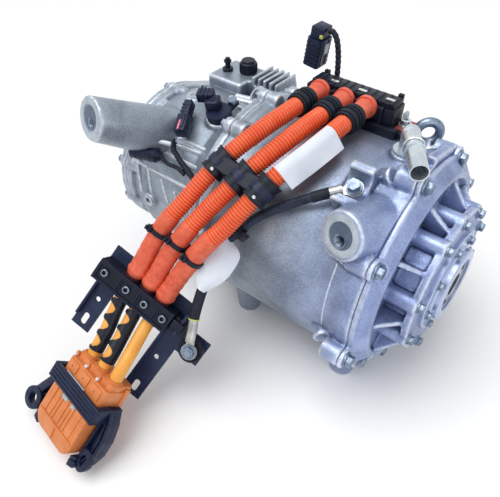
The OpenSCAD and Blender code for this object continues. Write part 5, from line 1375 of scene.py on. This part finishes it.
# Labels
def paper_label():
    """Blank label over the third conduit, with a loose flap on its outer side."""
    line, step = smooth_route(CONDUIT_ROUTES[2], 1.0)
    start, end = 42, 110
    frames = line_frames(line, TOWARDS_CAMERA)
    radius = CONDUIT_R + 0.35
    leaves_at = math.radians(22)
    arc = math.radians(78)
    flap = 17
    whole = flap + radius * arc

    def place_of(across, along):
        i = round((start + (end - start) * along) / step)
        top, side = frames[i]
        run = across * whole
        if run > flap:
            angle = leaves_at - (run - flap) / radius
            return line[i] + radius * (math.sin(angle) * side + math.cos(angle) * top)
        away = flap - run
        curl = 1.4 * math.sin(along * 7.0) * (away / flap) ** 2
        edge = line[i] + radius * (math.sin(leaves_at) * side + math.cos(leaves_at) * top)
        return edge + away * (math.cos(leaves_at) * side - math.sin(leaves_at) * top) + curl * top
    piece("conduit_label", Build().sheet(40, 36, place_of, 0.3), [paper], slot="orange_cover", crease=60)


def strap_tag():
    """Blank tag folded round the strap, its free leaf curled out to the right."""
    inner = [(-210.6, -137.0, 56.9), (-211.3, -147.6, 48.7), (-212.5, -157.7, 41.2), (-211.8, -171.7, 29.3),
             (-208.1, -177.9, 21.8), (-202.0, -183.9, 12.9)]
    outer = [(-206.7, -133.8, 54.1), (-194.5, -134.1, 45.8), (-182.6, -137.3, 35.4), (-181.5, -150.2, 24.1),
             (-185.0, -164.0, 15.1), (-195.1, -181.2, 7.6)]
    left = smooth_route(inner, 1.5)[0]
    right = smooth_route(outer, 1.5)[0]

    def place_of(across, along):
        a = left[round(along * (len(left) - 1))]
        b = right[round(along * (len(right) - 1))]
        return a.lerp(b, across) + TOWARDS_CAMERA * (4.0 * math.sin(math.pi * across) - 1.5 * across)
    piece("strap_tag", Build().sheet(20, 40, place_of, 0.3), [paper], slot="black_rubber", crease=60)


# Studio
def lay_floor():
    """Pale matt floor just below the unit."""
    bpy.ops.mesh.primitive_plane_add(size=FLOOR_SIZE, location=(0, 0, cad_low.z - FLOOR_GAP))
    floor = bpy.context.object
    floor.name = "floor"
    pale = bpy.data.materials.new("pale floor")
    pale.use_nodes = True
    shader = pale.node_tree.nodes["Principled BSDF"]
    shader.inputs["Base Color"].default_value = (0.97, 0.97, 0.97, 1)
    shader.inputs["Roughness"].default_value = 0.9
    shader.inputs["Specular IOR Level"].default_value = 0.1
    floor.data.materials.append(pale)


def hang_backdrop():
    """White to the camera, to gloss and through clear matter, and softer as light on the unit."""
    world = bpy.data.worlds.new("studio")
    world.use_nodes = True
    scene.world = world
    graph = Graph(world.node_tree)
    light = graph.node("LightPath")
    seen = graph.math("ADD", light.outputs["Is Camera Ray"], light.outputs["Is Glossy Ray"])
    seen = graph.math("MINIMUM", graph.math("ADD", seen, light.outputs["Is Transmission Ray"]), 1.0)
    strength = graph.span(seen, 0.0, 1.0, AMBIENT, 1.0)
    backdrop = world.node_tree.nodes["Background"]
    backdrop.inputs["Color"].default_value = (1, 1, 1, 1)
    world.node_tree.links.new(strength, backdrop.inputs["Strength"])


def stand(name, data, place, way):
    """Sets a lamp or camera at a place, looking along a way."""
    holder = bpy.data.objects.new(name, data)
    holder.location = place
    holder.rotation_euler = way.to_track_quat("-Z", "Y").to_euler()
    scene.collection.objects.link(holder)
    return holder


def set_lamps():
    """Broad sun from above and two soft lamps."""
    sun = bpy.data.lights.new("sun", "SUN")
    sun.energy = SUN_LEVEL
    sun.angle = math.radians(SUN_SPREAD)
    stand("sun", sun, (0, 0, 0), SUN_WAY)
    for name, place, size, energy, colour in LAMPS:
        lamp = bpy.data.lights.new(name, "AREA")
        lamp.size = size
        lamp.energy = energy
        lamp.color = colour
        stand(name, lamp, place, LAMP_AIM - Vector(place))


def set_camera():
    """Camera where the photograph was taken from."""
    camera = bpy.data.cameras.new("camera")
    camera.lens = CAMERA_LENS
    camera.clip_end = 20
    a, e = math.radians(CAMERA_AZIMUTH), math.radians(CAMERA_ELEVATION)
    back = Vector((math.sin(a) * math.cos(e), -math.cos(a) * math.cos(e), math.sin(e)))
    scene.camera = stand("camera", camera, at_mm(CAMERA_AT), -back)
    scene.view_settings.view_transform = "Standard"


lay_floor()
hang_backdrop()
set_lamps()
set_camera()
dress_nodes()
castings()
housing_bands()
bolts()
shells = [plug_front(), plug_rear(), plug_lever()]
for index in range(3):
    conduit(index)
for index in range(3):
    lead(index)
earth_strap()
signal_cables(pigtail_plug())
clamp_bar_trim()
clamp_strap()
tie_heads()
earth_bush()
terminal_block()
gland_rings()
pipe_clip()
speed_sensor()
oil_sensor()
sensor_plug()
breather_caps()
gearbox_trim()
sensor_wires()
paper_label()
strap_tag()
